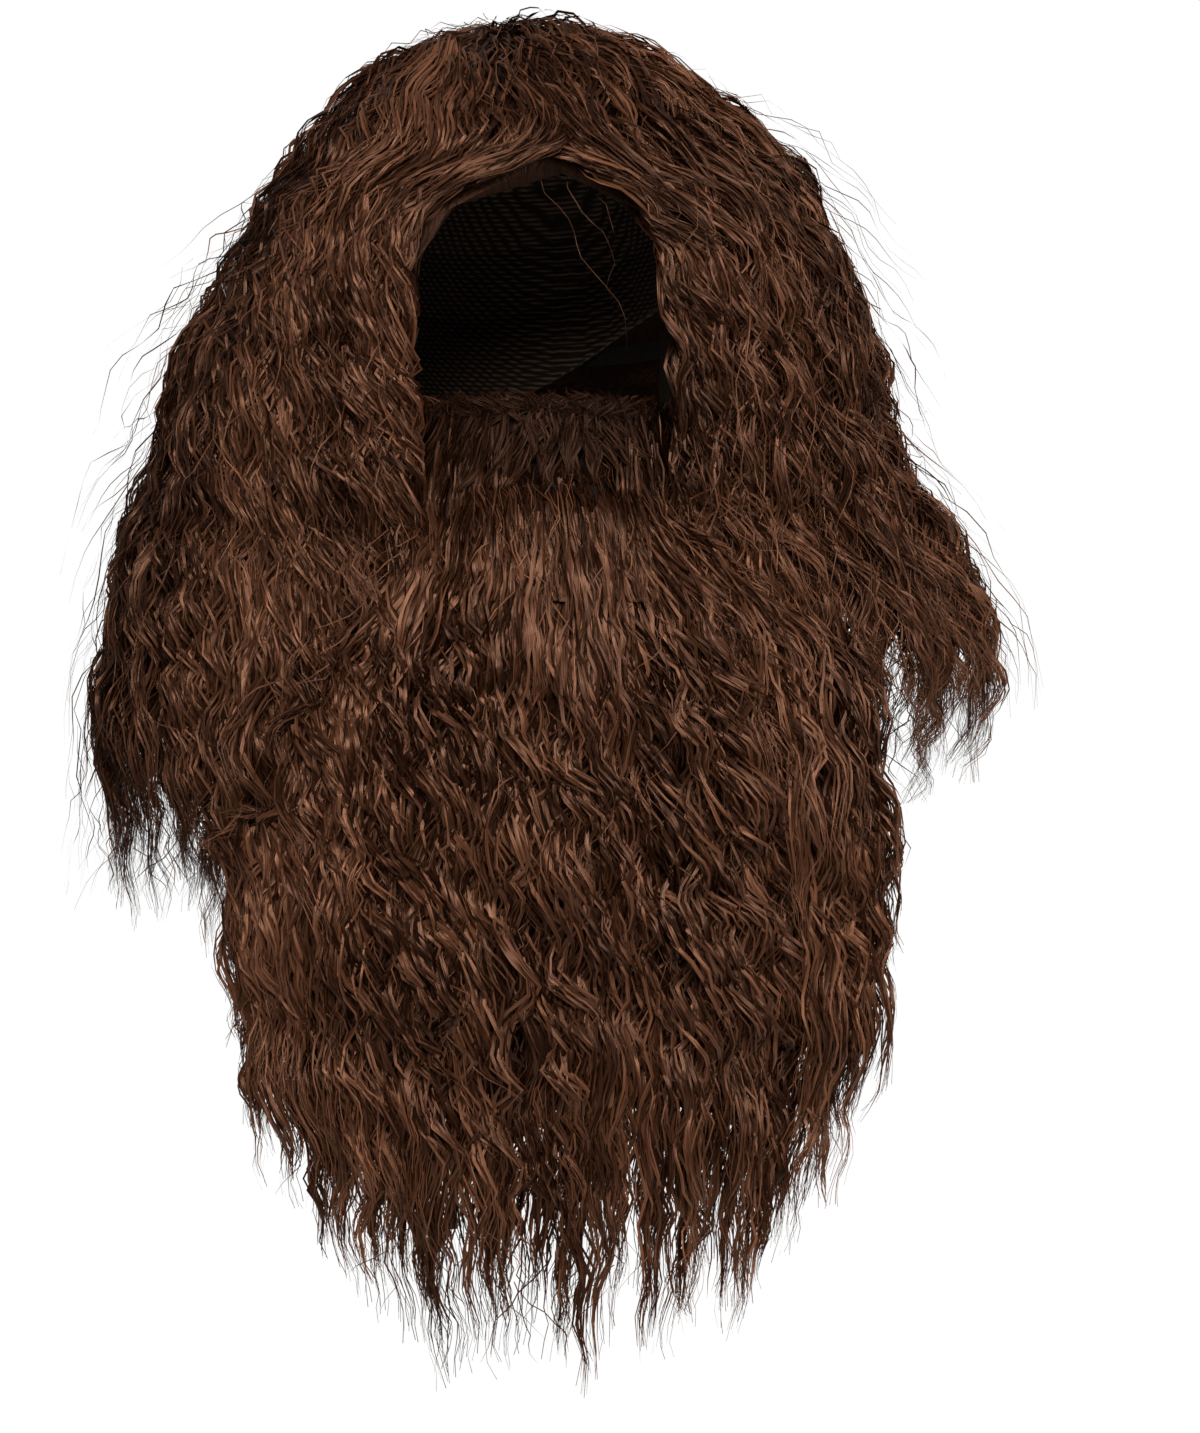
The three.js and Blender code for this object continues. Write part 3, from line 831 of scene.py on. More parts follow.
class FibreMesh:
    """Joined mesh of flat fibres: one strip made by a grid operator and repeated by an array."""

    def __init__(self, name: str, count: int, steps: int) -> None:
        """Makes the strips, all alike, before they are laid.

        Args:
            name: Name of the piece.
            count: Number of fibres.
            steps: Lengths that each fibre is divided into.
        """
        strip = bmesh.new()
        bmesh.ops.create_grid(strip, x_segments=1, y_segments=steps, size=0.5, calc_uvs=False)
        strip.verts.ensure_lookup_table()
        self.rows = np.array([round((vertex.co.y + 0.5) * steps) for vertex in strip.verts])
        self.edges = np.array([int(vertex.co.x > 0) for vertex in strip.verts])
        template = bpy.data.meshes.new(name + "_strip")
        strip.to_mesh(template)
        strip.free()
        source = link(name + "_strip", template)
        array = source.modifiers.new("fibres", "ARRAY")
        array.count = count
        array.use_relative_offset = False
        array.use_constant_offset = True
        array.constant_offset_displace = (2.0, 0.0, 0.0)
        graph = bpy.context.evaluated_depsgraph_get()
        self.mesh = bpy.data.meshes.new_from_object(source.evaluated_get(graph))
        bpy.data.objects.remove(source)
        self.mesh.name = name
        self.count = count
        self.steps = steps

    def lay(self, centre: np.ndarray, half: np.ndarray, tint: np.ndarray) -> bpy.types.Mesh:
        """Moves the strips to their places and writes their map, tint and grain.

        Args:
            centre: Middle line of each fibre, count by steps + 1 by 3.
            half: Vector from the middle line to one edge, of the same shape.
            tint: Tint at each row of each fibre.

        Returns:
            The finished mesh.
        """
        sign = (self.edges * 2 - 1)[None, :, None]
        places = centre[:, self.rows] + half[:, self.rows] * sign
        self.mesh.vertices.foreach_set("co", places.astype(np.float32).ravel())
        order = np.arange(self.count)
        run = length_along(centre)[:, self.rows]
        grain = np.zeros((*run.shape, 3))
        grain[..., 0] = order[:, None] * 7.31 + self.edges
        grain[..., 1] = run
        for name, kind, key, values in (
            ("tint", "FLOAT", "value", tint[:, self.rows]), ("grain", "FLOAT_VECTOR", "vector", grain)
        ):
            data = self.mesh.attributes.new(name, kind, "POINT").data
            data.foreach_set(key, values.astype(np.float32).ravel())
        cells = math.ceil(math.sqrt(self.count))
        column, row = order % cells, order // cells
        across = (column[:, None] + 0.1 + 0.8 * self.edges[None, :]) / cells
        along = (row[:, None] + 0.1 + 0.8 * self.rows[None, :] / self.steps) / cells
        corner_of = np.zeros(len(self.mesh.loops), np.int32)
        self.mesh.loops.foreach_get("vertex_index", corner_of)
        uv = np.stack([across.ravel(), along.ravel()], axis=1)[corner_of]
        layer = self.mesh.uv_layers.new(name=FIBRE_MAP)
        layer.data.foreach_set("uv", uv.astype(np.float32).ravel())
        self.mesh.polygons.foreach_set("use_smooth", np.ones(len(self.mesh.polygons), bool))
        self.mesh.update()
        return self.mesh


@dataclass(frozen=True)
class Room:
    """Space that the fibres keep to: the solids' box and a little more."""

    low: tuple
    high: tuple
    margin: tuple = (0.019, 0.015, 0.02)

    def hold(self, points: np.ndarray) -> np.ndarray:
        """Bends what would leave the room back to its edge.

        Args:
            points: Points of the fibres.

        Returns:
            The points, none of them outside.
        """
        margin = np.array(self.margin)
        over = np.maximum(points - np.array(self.high), 0.0)
        under = np.maximum(np.array(self.low) - points, 0.0)
        points = points - over + margin * (1 - np.exp(-over / margin))
        return points + under - margin * (1 - np.exp(-under / margin))


@dataclass
class FibreLocks:
    """Lays crimped fibres in locks over a surface."""

    surface: HairSurface
    style: LockStyle
    room: Room

    def lay(
        self,
        name: str,
        centres: np.ndarray,
        roots: np.ndarray,
        tips: np.ndarray,
        leans: np.ndarray | None = None,
    ) -> bpy.types.Object:
        """Makes one piece of hair.

        Args:
            name: Name of the piece.
            centres: Place across of each lock.
            roots: Distance down at which each lock starts.
            tips: Distance down at which each lock ends.
            leans: How far across each lock has moved at its tip.

        Returns:
            The piece.
        """
        style = self.style
        draw = np.random.default_rng(style.seed)
        count = style.locks * style.fibres
        lock = np.repeat(np.arange(style.locks), style.fibres)
        share = np.linspace(0, 1, style.steps + 1)[None, :]

        def per_lock(low: float, high: float) -> np.ndarray:
            """Random number for each lock, as a column over its fibres."""
            return draw.uniform(low, high, style.locks)[lock][:, None]

        def per_fibre(low: float, high: float) -> np.ndarray:
            """Random number for each fibre, as a column."""
            return draw.uniform(low, high, count)[:, None]

        start = roots[lock][:, None] + per_fibre(-style.root_scatter, style.root_scatter)
        cut = 1 - np.abs(draw.normal(0, style.raggedness, count))[:, None]
        down = start + (tips[lock][:, None] - start) * cut * share
        swing = style.wander * per_lock(0.2, 1)
        wander = swing * np.sin(share * math.pi * per_lock(0.6, 1.8) + per_lock(0, 6.3))
        turning = leans[lock][:, None] * share if leans is not None else 0.0
        across = centres[lock][:, None] + wander + turning
        side = np.sign(centres[lock])[:, None]
        across = side * np.maximum(side * across, style.least_across)
        point, sideways, outward = self.surface.at(across, np.maximum(down, 0.0))
        run = length_along(point)
        along = run + start - roots[lock][:, None]
        angle = per_fibre(0, 2 * math.pi)
        radius = np.sqrt(per_fibre(0, 1))
        spread = style.spread * per_lock(0.6, 1.4)
        narrowing = 1 - (1 - style.tip_spread) * smooth_step(share, 0.35, 1.0)
        opening = 0.5 + 0.5 * smooth_step(share, 0.0, 0.25)
        offset = radius * spread * narrowing * opening
        grown = smooth_step(run, 0.0, style.crimp_from + 1e-6)
        fading = 1 - style.tip_calm * smooth_step(share, 0.6, 0.95)
        height = style.crimp_height * per_lock(0.55, 1.35) * per_fibre(0.7, 1.3) * grown * fading
        wave = 2 * math.pi * along / per_lock(*style.crimp_length) + per_lock(0, 6.3) + per_fibre(-0.6, 0.6)
        wave = wave + 0.8 * np.sin(2 * math.pi * along / 0.13 + per_lock(0, 6.3))
        curl = np.sin(wave) + 0.25 * np.sin(2.1 * wave + per_lock(0, 6.3))
        frizz = style.frizz * np.sin(along / per_fibre(0.0016, 0.004) + per_fibre(0, 6.3))
        side_move = offset * np.cos(angle) + height * curl + frizz
        if style.edge_room is not None:
            side_move = side * np.maximum(side * side_move, -style.edge_room * np.abs(across))
        side_move = side_move - side * per_lock(*style.inward)
        layer = per_lock(*style.layer_depth)
        out_move = layer + 0.5 * offset * np.sin(angle) + 0.85 * height * np.cos(wave + per_lock(-0.6, 0.6))
        out_move = out_move - style.tuck * (1 - smooth_step(run, 0.0, 0.05))
        out_move = out_move + per_lock(*style.lift) * share ** 1.6
        centre = self.room.hold(point + sideways * side_move[..., None] + outward * out_move[..., None])
        forward = unit(np.gradient(centre, axis=1))
        roll = per_fibre(-1.0, 1.0) + 0.6 * np.sin(along / per_fibre(0.004, 0.012) + per_fibre(0, 6.3))
        facing = outward * np.cos(roll)[..., None] + sideways * np.sin(roll)[..., None]
        flat = unit(np.cross(forward, facing))
        width = style.fibre_width * per_fibre(0.6, 1.4) * (1 - 0.85 * smooth_step(share, 0.72, 1.0))
        # Locks that lie deeper get a darker tint: painted shade under the outer locks.
        rise = (layer - style.layer_depth[0]) / (style.layer_depth[1] - style.layer_depth[0]) - 0.5
        tint = per_lock(*style.tint) + per_fibre(-0.3, 0.3) + 0.14 * rise
        tint = tint + 0.1 * smooth_step(share, 0.5, 1.0)
        tint = np.clip(tint - 0.3 * (1 - smooth_step(run, 0.0, style.dark_root)), 0, 1)
        mesh = FibreMesh(name, count, style.steps).lay(centre, flat * width[..., None] / 2, tint)
        return link(name, mesh)


@dataclass
class Backing:
    """Smooth backing under the fibres, made from a copy of a hair solid."""

    frame: dict
    node: HairNode
    sink: float = 0.003
    draw_from: float | None = None
    draw_share: float = 0.45
    draw_in: float = 0.0
    is_fine: bool = False

    def build(self) -> bpy.types.Object:
        """Makes the backing.

        Returns:
            The piece, a closed mesh just inside the solid's outside.
        """
        copy = bmesh.new()
        copy.from_mesh(self.frame["nodes"][self.node.value].data)
        bmesh.ops.remove_doubles(copy, verts=copy.verts, dist=0.00002)
        bmesh.ops.triangulate(copy, faces=copy.faces[:])
        if self.is_fine:
            bmesh.ops.subdivide_edges(copy, edges=copy.edges[:], cuts=1, use_grid_fill=True)
        for _ in range(3 if self.is_fine else 1):
            bmesh.ops.smooth_vert(
                copy, verts=copy.verts[:], factor=0.5, use_axis_x=True, use_axis_y=True, use_axis_z=True
            )
        copy.normal_update()
        for vertex in copy.verts:
            vertex.co -= vertex.normal * self.sink
            if self.draw_from is not None and vertex.co.z < self.draw_from:
                below = self.draw_from - vertex.co.z
                vertex.co.z = self.draw_from - below * self.draw_share
                vertex.co.xy = vertex.co.xy * (1 - self.draw_in * min(1.0, below / 0.03))
        mesh = bpy.data.meshes.new(self.node.value + "_backing")
        copy.to_mesh(mesh)
        copy.free()
        mesh.polygons.foreach_set("use_smooth", np.ones(len(mesh.polygons), bool))
        return link(self.node.value + "_backing", mesh)


def paint(piece: bpy.types.Object, material: bpy.types.Material) -> None:
    """Gives a piece one material."""
    piece.data.materials.clear()
    piece.data.materials.append(material)


def dress(piece: bpy.types.Object, material: bpy.types.Material, slot: str, *nodes: HairNode) -> None:
    """Gives a piece its finish and its place in the frame.

    Args:
        piece: The piece.
        material: Its finish.
        slot: The record's material slot; not used.
        nodes: Solids that it stands for.
    """
    paint(piece, material)
    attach(piece, BODY)
    if nodes:
        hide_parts(*(node.value for node in nodes))
    triangles = sum(len(face.vertices) - 2 for face in piece.data.polygons)
    log.info("%s: %d triangles", piece.name, triangles)


@dataclass
class Wig:
    """Wig: the cap, the backings and the locks of the crown, the sides and the back."""

    frame: dict
    room: Room
    slot: str = "wig_fibre"
    crown_style: LockStyle = LockStyle(
        locks=112, fibres=22, steps=31, start=(0.0, 0.06), length=(0.5, 0.8), seed=11, spread=0.011,
        layer_depth=(-0.004, 0.006), crimp_height=0.0038, crimp_from=0.06, crimp_length=(0.034, 0.05),
        tint=(0.34, 0.82))
    right_style: LockStyle = LockStyle(
        locks=90, fibres=24, steps=37, start=(0.14, 0.24), length=(0.89, 1.01), seed=12, tint=(0.16, 0.64),
        crimp_height=0.0046, crimp_length=(0.032, 0.048), raggedness=0.07, tip_spread=0.55, tip_calm=0.5,
        edge_room=0.7)
    right_tips: tuple = ((-0.7, -0.39), (-0.5, -0.385), (-0.36, -0.42), (-0.2, -0.455), (0.0, -0.45))
    left_style: LockStyle = LockStyle(
        locks=80, fibres=24, steps=36, start=(0.12, 0.22), length=(0.9, 1.02), seed=13, tint=(0.24, 0.7),
        crimp_height=0.005, crimp_length=(0.032, 0.048), raggedness=0.04, tip_spread=0.7, tip_calm=0.2,
        edge_room=0.7)
    left_tips: tuple = ((0.0, -0.36), (0.2, -0.35), (0.4, -0.33), (0.55, -0.315), (0.7, -0.33))
    wisp_style: LockStyle = LockStyle(
        locks=540, fibres=1, steps=22, start=(0.2, 0.56), length=(0.08, 0.22), seed=15, spread=0.002,
        crimp_height=0.0042, crimp_length=(0.025, 0.06), fibre_width=0.0005, wander=0.06, frizz=0.0004,
        lift=(0.004, 0.042))
    forehead_style: LockStyle = LockStyle(
        locks=20, fibres=1, steps=16, start=(0.1, 0.17), length=(0.03, 0.11), seed=17, spread=0.002,
        crimp_height=0.003, crimp_length=(0.03, 0.06), crimp_from=0.02, fibre_width=0.0005, wander=0.0015,
        least_across=0.0, lift=(0.0, 0.012), tint=(0.0, 0.3))
    rim_style: LockStyle = LockStyle(
        locks=56, fibres=10, steps=12, start=(0.055, 0.14), length=(0.05, 0.09), seed=18, spread=0.006,
        layer_depth=(-0.001, 0.004), crimp_height=0.0022, crimp_length=(0.025, 0.04), crimp_from=0.02,
        wander=0.002, raggedness=0.1, inward=(0.0, 0.013), tint=(0.05, 0.5))
    rim_drop: float = 0.16
    stray_spread: float = 0.26
    frizz_style: LockStyle = LockStyle(
        locks=1900, fibres=1, steps=8, start=(0.04, 0.54), length=(0.03, 0.075), seed=16, spread=0.003,
        layer_depth=(0.002, 0.009), crimp_height=0.0022, crimp_length=(0.012, 0.03), crimp_from=0.01,
        fibre_width=0.00045, wander=0.03, tuck=0.003, lift=(0.0, 0.006), tint=(0.45, 1.0))
    back_style: LockStyle = LockStyle(
        locks=46, fibres=23, steps=34, start=(0.14, 0.24), length=(0.92, 1.05), seed=14,
        crimp_height=0.004, raggedness=0.08, tip_spread=0.35)

    def build(self) -> None:
        """Builds and dresses every piece of the wig."""
        net = FabricFinish("cap_net", (0.012, 0.007, 0.0045), (0.11, 0.07, 0.048), 0.0022).build()
        paint(self.frame["nodes"]["wig_cap"], net)
        # The backings' finish is darkened as painted shade between the locks.
        backing = ShadeBackingFinish("wig_backing_shade").build()
        tip_starts = {HairNode.CROWN: -0.1, HairNode.RIGHT: -0.3, HairNode.LEFT: -0.23, HairNode.BACK: -0.3}
        for node, level in tip_starts.items():
            inward = 0.12 if node is HairNode.CROWN else 0.04
            bulk = Backing(self.frame, node, draw_from=level, draw_in=inward).build()
            dress(bulk, backing, self.slot, node)
        self.outside = WigSurface(self.frame)
        self.fibre = FibreFinish("wig_fibre").build()
        self._crown()
        self._fall("side_locks_right", self.right_style, (-0.7, 0.0), HairNode.RIGHT, self.right_tips)
        self._fall("side_locks_left", self.left_style, (0.0, 0.7), HairNode.LEFT, self.left_tips)
        self._fall("back_locks", self.back_style, (0.68, 1.32), HairNode.BACK)
        self._loose_fibres("wig_wisps", self.wisp_style)
        self._loose_fibres("wig_frizz", self.frizz_style)
        self._forehead_hairs()
        self._rim_locks()

    def _lay(
        self, name: str, style: LockStyle, *places: np.ndarray, nodes: tuple[HairNode, ...] = ()
    ) -> None:
        """Lays and dresses one piece of locks on the outside of the wig.

        Args:
            name: Name of the piece.
            style: How its fibres lie.
            places: Places across, roots and tips of the locks, and how far across their tips have moved.
            nodes: Solids that it stands for.
        """
        piece = FibreLocks(self.outside.surface, style, self.room).lay(name, *places)
        dress(piece, self.fibre, self.slot, *nodes)

    def _crown(self) -> None:
        """Upper locks, from the pole down over the falls."""
        style = self.crown_style
        draws = LockDraws(style)
        centres = np.linspace(-1, 1, style.locks, endpoint=False) + draws.between(-0.01, 0.01)
        roots = draws.starts()
        tips = self.outside.length_at(centres) * draws.lengths()
        self._lay("crown_locks", style, centres, roots, tips, nodes=(HairNode.CROWN,))

    def _rim_locks(self) -> None:
        """Short locks that lie along the rim of the face opening, lower on the wearer's left."""
        style = self.rim_style
        draws = LockDraws(style)
        side = np.where(np.arange(style.locks) % 5 < 2, -1.0, 1.0)
        centres = side * draws.between(0.014, 0.032)
        roots = draws.starts() + np.where(side > 0, draws.between(0, self.rim_drop), 0.0)
        self._lay("rim_locks", style, centres, roots, roots + draws.lengths())

    def _forehead_hairs(self) -> None:
        """A few fine hairs that hang over the top of the face opening."""
        draws = LockDraws(self.forehead_style)
        centres = draws.between(-0.004, 0.0105)
        roots = draws.starts()
        self._lay("forehead_hairs", self.forehead_style, centres, roots, roots + draws.lengths())

    def _loose_fibres(self, name: str, style: LockStyle) -> None:
        """Single fibres that stray over the locks or stand off them.

        Args:
            name: Name of the piece.
            style: How the fibres lie; start gives the place of their tips.
        """
        draws = LockDraws(style)
        side = np.where(draws.between(0, 1) < 0.45, -1.0, 1.0)
        centres = side * np.clip(draws.around(0.48, self.stray_spread), 0.03, 0.98)
        tips = np.minimum(self.outside.length_at(centres) * 0.98, draws.starts())
        roots = tips - draws.lengths()
        self._lay(name, style, centres, roots, tips, draws.around(0, 0.04))

    def _fall(
        self, name: str, style: LockStyle, span: tuple[float, float], node: HairNode, levels: tuple = ()
    ) -> None:
        """Locks of one fall.

        Args:
            name: Name of the piece.
            style: How its fibres lie.
            span: Places across where the fall starts and ends; past 1 it goes on from -1.
            node: Solid that it stands for.
            levels: Places across and the heights of the tips there, or nothing for the solid's own tips.
        """
        draws = LockDraws(style)
        centres = (draws.evenly(*span, 0.006) + 1) % 2 - 1
        roots = draws.starts()
        tips = self.outside.length_at(centres)
        if levels:
            tips = self.outside.dome_length + self.outside.head_middle - np.interp(centres, *zip(*levels))
        self._lay(name, style, centres, roots, tips * draws.lengths(), nodes=(node,))


@dataclass
class Beard:
    """Beard: the mask, the strap, the long locks, the short hair round the mouth and the moustache."""

    frame: dict
    room: Room
    beard_slot: str = "beard_fibre"
    moustache_slot: str = "moustache_fibre"
    top: float = -0.16
    lip_top: float = -0.154
    lip_bottom: float = -0.25
    lip_rows: int = 49
    lip_right: float = 0.074
    lip_left: float = 0.08
    root_half: float = 0.056
    back_top: float = -0.23
    mouth_half: float = 0.025
    mouth_level: float = -0.1975
    long_style: LockStyle = LockStyle(
        locks=90, fibres=20, steps=50, start=(0.022, 0.05), length=(0.84, 1.04), seed=21, spread=0.009,
        crimp_from=0.14, crimp_length=(0.034, 0.054), crimp_height=0.0054, tint=(0.18, 0.7), least_across=0.0,
        raggedness=0.08, tip_spread=0.7, tip_calm=0.7, fibre_width=0.00145, lift=(0.0, 0.01))
    tip_style: LockStyle = LockStyle(
        locks=48, fibres=15, steps=15, start=(0.2, 0.3), length=(0.88, 1.02), seed=28, least_across=0.0,
        layer_depth=(-0.004, 0.006), crimp_length=(0.03, 0.046), crimp_from=0.02, crimp_height=0.004,
        raggedness=0.08, tip_spread=0.35, tip_calm=0.6, fibre_width=0.0013, lift=(0.0, 0.012),
        tint=(0.25, 0.85))
    pull: float = 0.4
    tip_line: tuple = ((0.0, 0.45), (0.2, 0.442), (0.43, 0.415), (0.675, 0.38), (0.87, 0.345), (1.0, 0.32))
    side_style: LockStyle = LockStyle(
        locks=58, fibres=19, steps=18, start=(0.0, 0.1), length=(0.1, 0.17), seed=25, least_across=0.1,
        layer_depth=(0.001, 0.009), crimp_height=0.004, crimp_from=0.05, raggedness=0.1, tip_spread=0.4,
        tint=(0.2, 0.75), lift=(0.0, 0.018))
    side_top: float = -0.185
    side_bottom: float = -0.56
    side_rise: float = 0.11
    side_halves: tuple = (0.142, 0.15)
    short_style: LockStyle = LockStyle(
        locks=130, fibres=12, steps=12, start=(0.016, 0.046), length=(0.035, 0.085), seed=22, spread=0.005,
        layer_depth=(-0.001, 0.004), crimp_height=0.0012, crimp_length=(0.02, 0.035), fibre_width=0.0009,
        root_scatter=0.003, wander=0.02, least_across=0.0, tuck=0.001, lift=(0.0, 0.004), frizz=0.0003,
        tint=(0.15, 0.65), dark_root=0.03)
    lip_style: LockStyle = LockStyle(
        locks=170, fibres=12, steps=9, start=(0.009, 0.022), length=(0.02, 0.034), seed=23, spread=0.004,
        layer_depth=(0.0, 0.003), crimp_height=0.0009, crimp_length=(0.015, 0.03), fibre_width=0.0008,
        root_scatter=0.003, wander=0.03, least_across=0.0, tuck=0.002, lift=(0.001, 0.005), frizz=0.0003,
        tint=(0.0, 0.42), dark_root=0.01)
    fuzz_style: LockStyle = LockStyle(
        locks=240, fibres=5, steps=5, start=(0.009, 0.014), length=(0.004, 0.009), seed=24, spread=0.003,
        layer_depth=(0.0, 0.002), crimp_height=0.0003, crimp_length=(0.01, 0.02), fibre_width=0.0004,
        root_scatter=0.002, wander=0.05, least_across=0.0, tuck=0.0, lift=(0.0, 0.004), frizz=0.0002,
        tint=(0.2, 0.6))
    frizz_style: LockStyle = LockStyle(
        locks=900, fibres=1, steps=9, start=(0.03, 0.38), length=(0.03, 0.08), seed=26, spread=0.003,
        layer_depth=(0.002, 0.008), crimp_height=0.0022, crimp_length=(0.012, 0.03), crimp_from=0.01,
        fibre_width=0.00045, wander=0.06, least_across=0.0, tuck=0.003, lift=(0.0, 0.006), tint=(0.5, 1.0))
    back_style: LockStyle = LockStyle(
        locks=48, fibres=14, steps=24, start=(0.02, 0.12), length=(0.8, 1.0), seed=27, least_across=0.0,
        layer_depth=(0.0, 0.004), crimp_height=0.004, fibre_width=0.0016, raggedness=0.1, tip_spread=0.5,
        tip_calm=0.7)

    def build(self) -> None:
        """Builds and dresses every piece of the beard."""
        knit = FabricFinish("mask_knit", (0.006, 0.0032, 0.002), (0.032, 0.017, 0.01), 0.0012).build()
        band = FabricFinish("elastic_band", (0.004, 0.003, 0.0025), (0.02, 0.015, 0.012), 0.0008).build()
        for name, material in (("beard_base", knit), ("beard_strap", band)):
            paint(self.frame["nodes"][name], material)
        # The backing's finish is darkened as painted shade between the locks.
        backing = ShadeBackingFinish("beard_backing").build()
        bulk = Backing(
            self.frame, HairNode.BEARD, sink=0.006, draw_from=-0.42, draw_share=0.7, draw_in=0.13,
            is_fine=True,
        ).build()
        dress(bulk, backing, self.beard_slot, HairNode.BEARD)
        lip = Backing(self.frame, HairNode.MOUSTACHE, sink=0.0015).build()
        dress(lip, backing, self.moustache_slot, HairNode.MOUSTACHE)
        self._read_surfaces()
        lip_finish = FibreFinish(
            "moustache_fibre", body=(0.014, 0.0044, 0.0018), light=(0.085, 0.031, 0.013), roughness=0.4,
            specular=0.22,
        )
        beard_finish = FibreFinish("beard_fibre")
        self.fibres = {self.beard_slot: beard_finish.build(), self.moustache_slot: lip_finish.build()}
        self._long_locks("beard_locks", self.long_style, (HairNode.BEARD,))
        self._long_locks("beard_tips", self.tip_style)
        self._short_locks()
        self._side_locks()
        self._back_locks()
        self._frizz()
        self._lip_locks()
        self._fuzz()

    def _read_surfaces(self) -> None:
        """Reads the surfaces that the locks of the beard and of the lip lie on."""
        low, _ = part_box(HairNode.BEARD.value)
        levels = np.linspace(self.top, low.z, 90)
        halves = [half_widths(self.frame, levels, side, self.root_half) for side in Side]
        self.front = FrontSurface(self.frame, (HairNode.BEARD.value, "beard_base"), levels, *halves)
        low_levels = levels[levels < self.back_top]
        low_halves = [half[levels < self.back_top] for half in halves]
        solids = (HairNode.BEARD.value,)
        self.inside = FrontSurface(self.frame, solids, low_levels, *low_halves, is_back=True)
        levels = np.linspace(self.side_top, self.side_bottom, 60)
        widest = self.side_top - self.side_rise
        halves = [np.interp(-levels, (-levels[0], -widest), (self.lip_right + 0.04, half))
                  for half in self.side_halves]
        solids = (HairNode.BEARD.value, HairNode.RIGHT.value, HairNode.LEFT.value, "beard_base")
        self.sides = FrontSurface(self.frame, solids, levels, *halves)
        levels = np.linspace(self.lip_top, self.lip_bottom, self.lip_rows)
        halves = [np.full(self.lip_rows, half) for half in (self.lip_right, self.lip_left)]
        solids = (HairNode.MOUSTACHE.value, "beard_base", HairNode.BEARD.value)
        self.lip = FrontSurface(self.frame, solids, levels, *halves, bridge_rows=9)

    def _below_mouth(self, surface: FrontSurface, across: np.ndarray, roots: np.ndarray) -> np.ndarray:
        """Roots moved down where they would hang over the mouth slit.

        Args:
            surface: Surface that the roots lie on.
            across: Place across of each root.
            roots: Distance of each root from the surface's top.

        Returns:
            The roots' distances.
        """
        is_mouth = np.abs(surface.x_at(across)) < self.mouth_half
        lowered = surface.levels[0] - self.mouth_level + 0.45 * (roots - roots.min())
        return np.where(is_mouth, np.maximum(roots, lowered), roots)

    def _lay(
        self, name: str, front: FrontSurface, style: LockStyle, *places: np.ndarray, is_lip: bool = False,
        nodes: tuple[HairNode, ...] = (),
    ) -> None:
        """Lays and dresses one piece of locks on one of the beard's surfaces.

        Args:
            name: Name of the piece.
            front: The surface.
            style: How its fibres lie.
            places: Places across, roots and tips of the locks, and how far across their tips have moved.
            is_lip: Whether the piece is part of the moustache.
            nodes: Solids that it stands for.
        """
        slot = self.moustache_slot if is_lip else self.beard_slot
        piece = FibreLocks(front.surface, style, self.room).lay(name, *places)
        dress(piece, self.fibres[slot], slot, *nodes)

    def _long_locks(self, name: str, style: LockStyle, nodes: tuple[HairNode, ...] = ()) -> None:
        """Locks that gather in the pointed tips.

        Args:
            name: Name of the piece.
            style: How its fibres lie.
            nodes: Solids that it stands for.
        """
        draws = LockDraws(style)
        centres = draws.evenly(-0.98, 0.98)
        roots = self._below_mouth(self.front, centres, draws.starts())
        points = self.front.tip_points()
        nearest = points[np.abs(points[None, :] - centres[:, None]).argmin(axis=1)]
        longest = np.interp(np.abs(centres), *zip(*self.tip_line))
        tips = np.minimum(self.front.envelope_at(centres), longest) * draws.lengths()
        leans = (nearest - centres) * self.pull
        self._lay(name, self.front, style, centres, roots, tips, leans, nodes=nodes)

    def _frizz(self) -> None:
        """Loose fibres that stray over the long locks."""
        draws = LockDraws(self.frizz_style)
        centres = draws.between(-0.97, 0.97)
        tips = draws.between(0.06, 0.97) * np.interp(np.abs(centres), *zip(*self.tip_line))
        roots = tips - draws.lengths()
        leans = draws.around(0, 0.12)
        self._lay("beard_frizz", self.front, self.frizz_style, centres, roots, tips, leans)

    def _back_locks(self) -> None:
        """Locks on the inside of the beard, seen from behind."""
        draws = LockDraws(self.back_style)
        centres = draws.evenly(-0.97, 0.97)
        roots = draws.starts()
        tips = self.inside.length_at(centres) * draws.lengths()
        self._lay("beard_back_locks", self.inside, self.back_style, centres, roots, tips)

    def _side_locks(self) -> None:
        """Locks that lie over the edges where the side hair meets the beard."""
        draws = LockDraws(self.side_style)
        side = np.where(np.arange(self.side_style.locks) % 2, 1.0, -1.0)
        centres = side * draws.between(0.5, 0.97)
        roots = draws.starts() + 0.16 * np.maximum(np.abs(centres) - 0.6, 0.0)
        longest = self.sides.levels[0] - self.sides.levels[-1]
        tips = np.minimum(roots + draws.lengths(), longest - 0.02)
        self._lay("beard_side_locks", self.sides, self.side_style, centres, roots, tips)

    def _short_locks(self) -> None:
        """Short hair round the mouth, over the mask and the roots of the long locks."""
        draws = LockDraws(self.short_style)
        centres = draws.between(-0.97, 0.97)
        roots = self._below_mouth(self.lip, centres, draws.starts() + 0.006)
        tips = roots + draws.lengths()
        self._lay("beard_short_hair", self.lip, self.short_style, centres, roots, tips, centres * 0.12)

    def _lip_locks(self) -> None:
        """Moustache, combed down and out from the middle of the lip."""
        draws = LockDraws(self.lip_style)
        centres = draws.between(-0.95, 0.95)
        roots = draws.starts()
        is_mouth = np.abs(self.lip.x_at(centres)) < self.mouth_half
        stretch = np.where(is_mouth, draws.between(0.45, 0.95), draws.between(1.2, 2.6))
        tips = roots + draws.lengths() * stretch
        leans = centres * 0.35 + draws.between(-0.07, 0.07)
        places = (centres, roots, tips, leans)
        nodes = (HairNode.MOUSTACHE,)
        self._lay("moustache_hair", self.lip, self.lip_style, *places, is_lip=True, nodes=nodes)

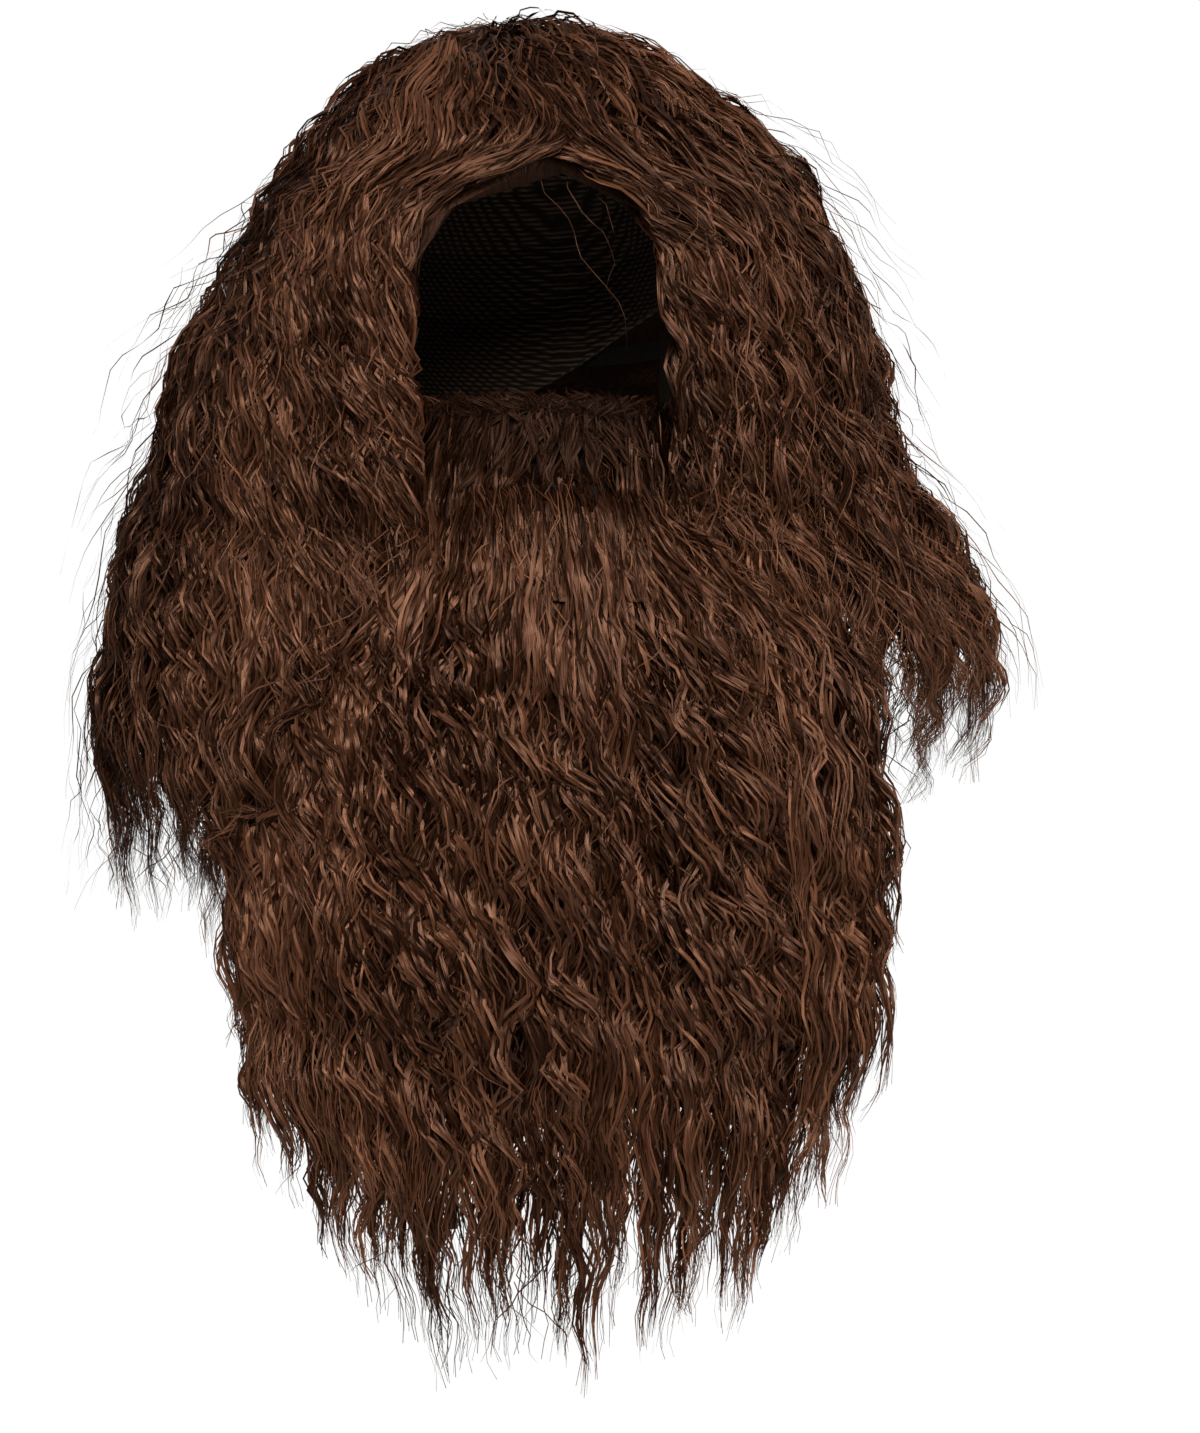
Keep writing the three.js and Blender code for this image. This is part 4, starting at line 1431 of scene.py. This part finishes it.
    def _fuzz(self) -> None:
        """Short fuzz that stands up along the moustache's upper edge."""
        draws = LockDraws(self.fuzz_style)
        centres = draws.evenly(-0.97, 0.97)
        roots = draws.starts()
        tips = roots - draws.lengths()
        self._lay("moustache_fuzz", self.lip, self.fuzz_style, centres, roots, tips, is_lip=True)


@dataclass
class Studio:
    """Plain pale floor, plain soft light and the camera."""

    azimuth: float = math.radians(-14)
    distance: float = 1.8
    aim: tuple = (0.023, -0.09, -0.3)
    lens: float = 101.0
    floor_level: float = -0.78
    floor_radius: float = 0.55
    surround: float = 0.17

    def build(self) -> None:
        """Makes the camera, the lights, the world and the floor."""
        self._camera()
        self._world()
        self._light("key_light", (-0.6, -1.9, 0.85), 1.0, 50.0)
        self._light("fill_light", (1.3, -1.6, 0.3), 1.2, 32.0)
        self._light("back_light", (0.3, 2.0, -0.1), 1.4, 32.0)
        self._floor()
        bpy.context.scene.view_settings.view_transform = "Standard"

    def _camera(self) -> None:
        """Camera at the photograph's angle, level with the middle of its frame."""
        data = bpy.data.cameras.new("camera")
        data.lens = self.lens
        data.sensor_width = 36.0
        camera = bpy.data.objects.new("camera", data)
        bpy.context.scene.collection.objects.link(camera)
        aim = Vector(self.aim)
        back = Vector((math.sin(self.azimuth), -math.cos(self.azimuth), 0.0))
        camera.location = aim + back * self.distance
        camera.rotation_euler = (aim - camera.location).to_track_quat("-Z", "Y").to_euler()
        bpy.context.scene.camera = camera

    def _light(self, name: str, place: tuple, size: float, power: float) -> None:
        """Soft square light.

        Args:
            name: Name of the light.
            place: Where it stands; it looks at the middle of the hair.
            size: Length of its side.
            power: Its power in watts.
        """
        data = bpy.data.lights.new(name, "AREA")
        data.size = size
        data.energy = power
        lamp = bpy.data.objects.new(name, data)
        bpy.context.scene.collection.objects.link(lamp)
        lamp.location = place
        lamp.rotation_euler = (Vector(self.aim) - Vector(place)).to_track_quat("-Z", "Y").to_euler()

    def _world(self) -> None:
        """Even white surroundings."""
        world = bpy.data.worlds.new("studio")
        world.use_nodes = True
        tree = world.node_tree
        background = tree.nodes["Background"]
        background.inputs["Color"].default_value = (1.0, 1.0, 1.0, 1.0)
        path = tree.nodes.new("ShaderNodeLightPath")
        strength = tree.nodes.new("ShaderNodeMapRange")
        strength.inputs["To Min"].default_value = self.surround
        strength.inputs["To Max"].default_value = 1.0
        tree.links.new(path.outputs["Is Camera Ray"], strength.inputs["Value"])
        tree.links.new(strength.outputs["Result"], background.inputs["Strength"])
        bpy.context.scene.world = world

    def _floor(self) -> None:
        """Pale round floor below the tips."""
        disc = bmesh.new()
        bmesh.ops.create_circle(disc, cap_ends=True, segments=96, radius=self.floor_radius)
        bmesh.ops.translate(disc, verts=disc.verts[:], vec=(0, 0, self.floor_level))
        mesh = bpy.data.meshes.new("floor")
        disc.to_mesh(mesh)
        disc.free()
        graph = NodeGraph("floor_paint")
        mesh.materials.append(graph.finish((0.85, 0.85, 0.85, 1.0), Roughness=0.8))
        link("floor", mesh)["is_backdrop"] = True


def main() -> None:
    """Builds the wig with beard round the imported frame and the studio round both."""
    logging.basicConfig(level=logging.INFO, format="%(message)s")
    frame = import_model()
    solid_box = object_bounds()
    room = Room(*(tuple(corner) for corner in solid_box))
    Wig(frame, room).build()
    Beard(frame, room).build()
    Studio().build()


if __name__ == "__main__":
    main()
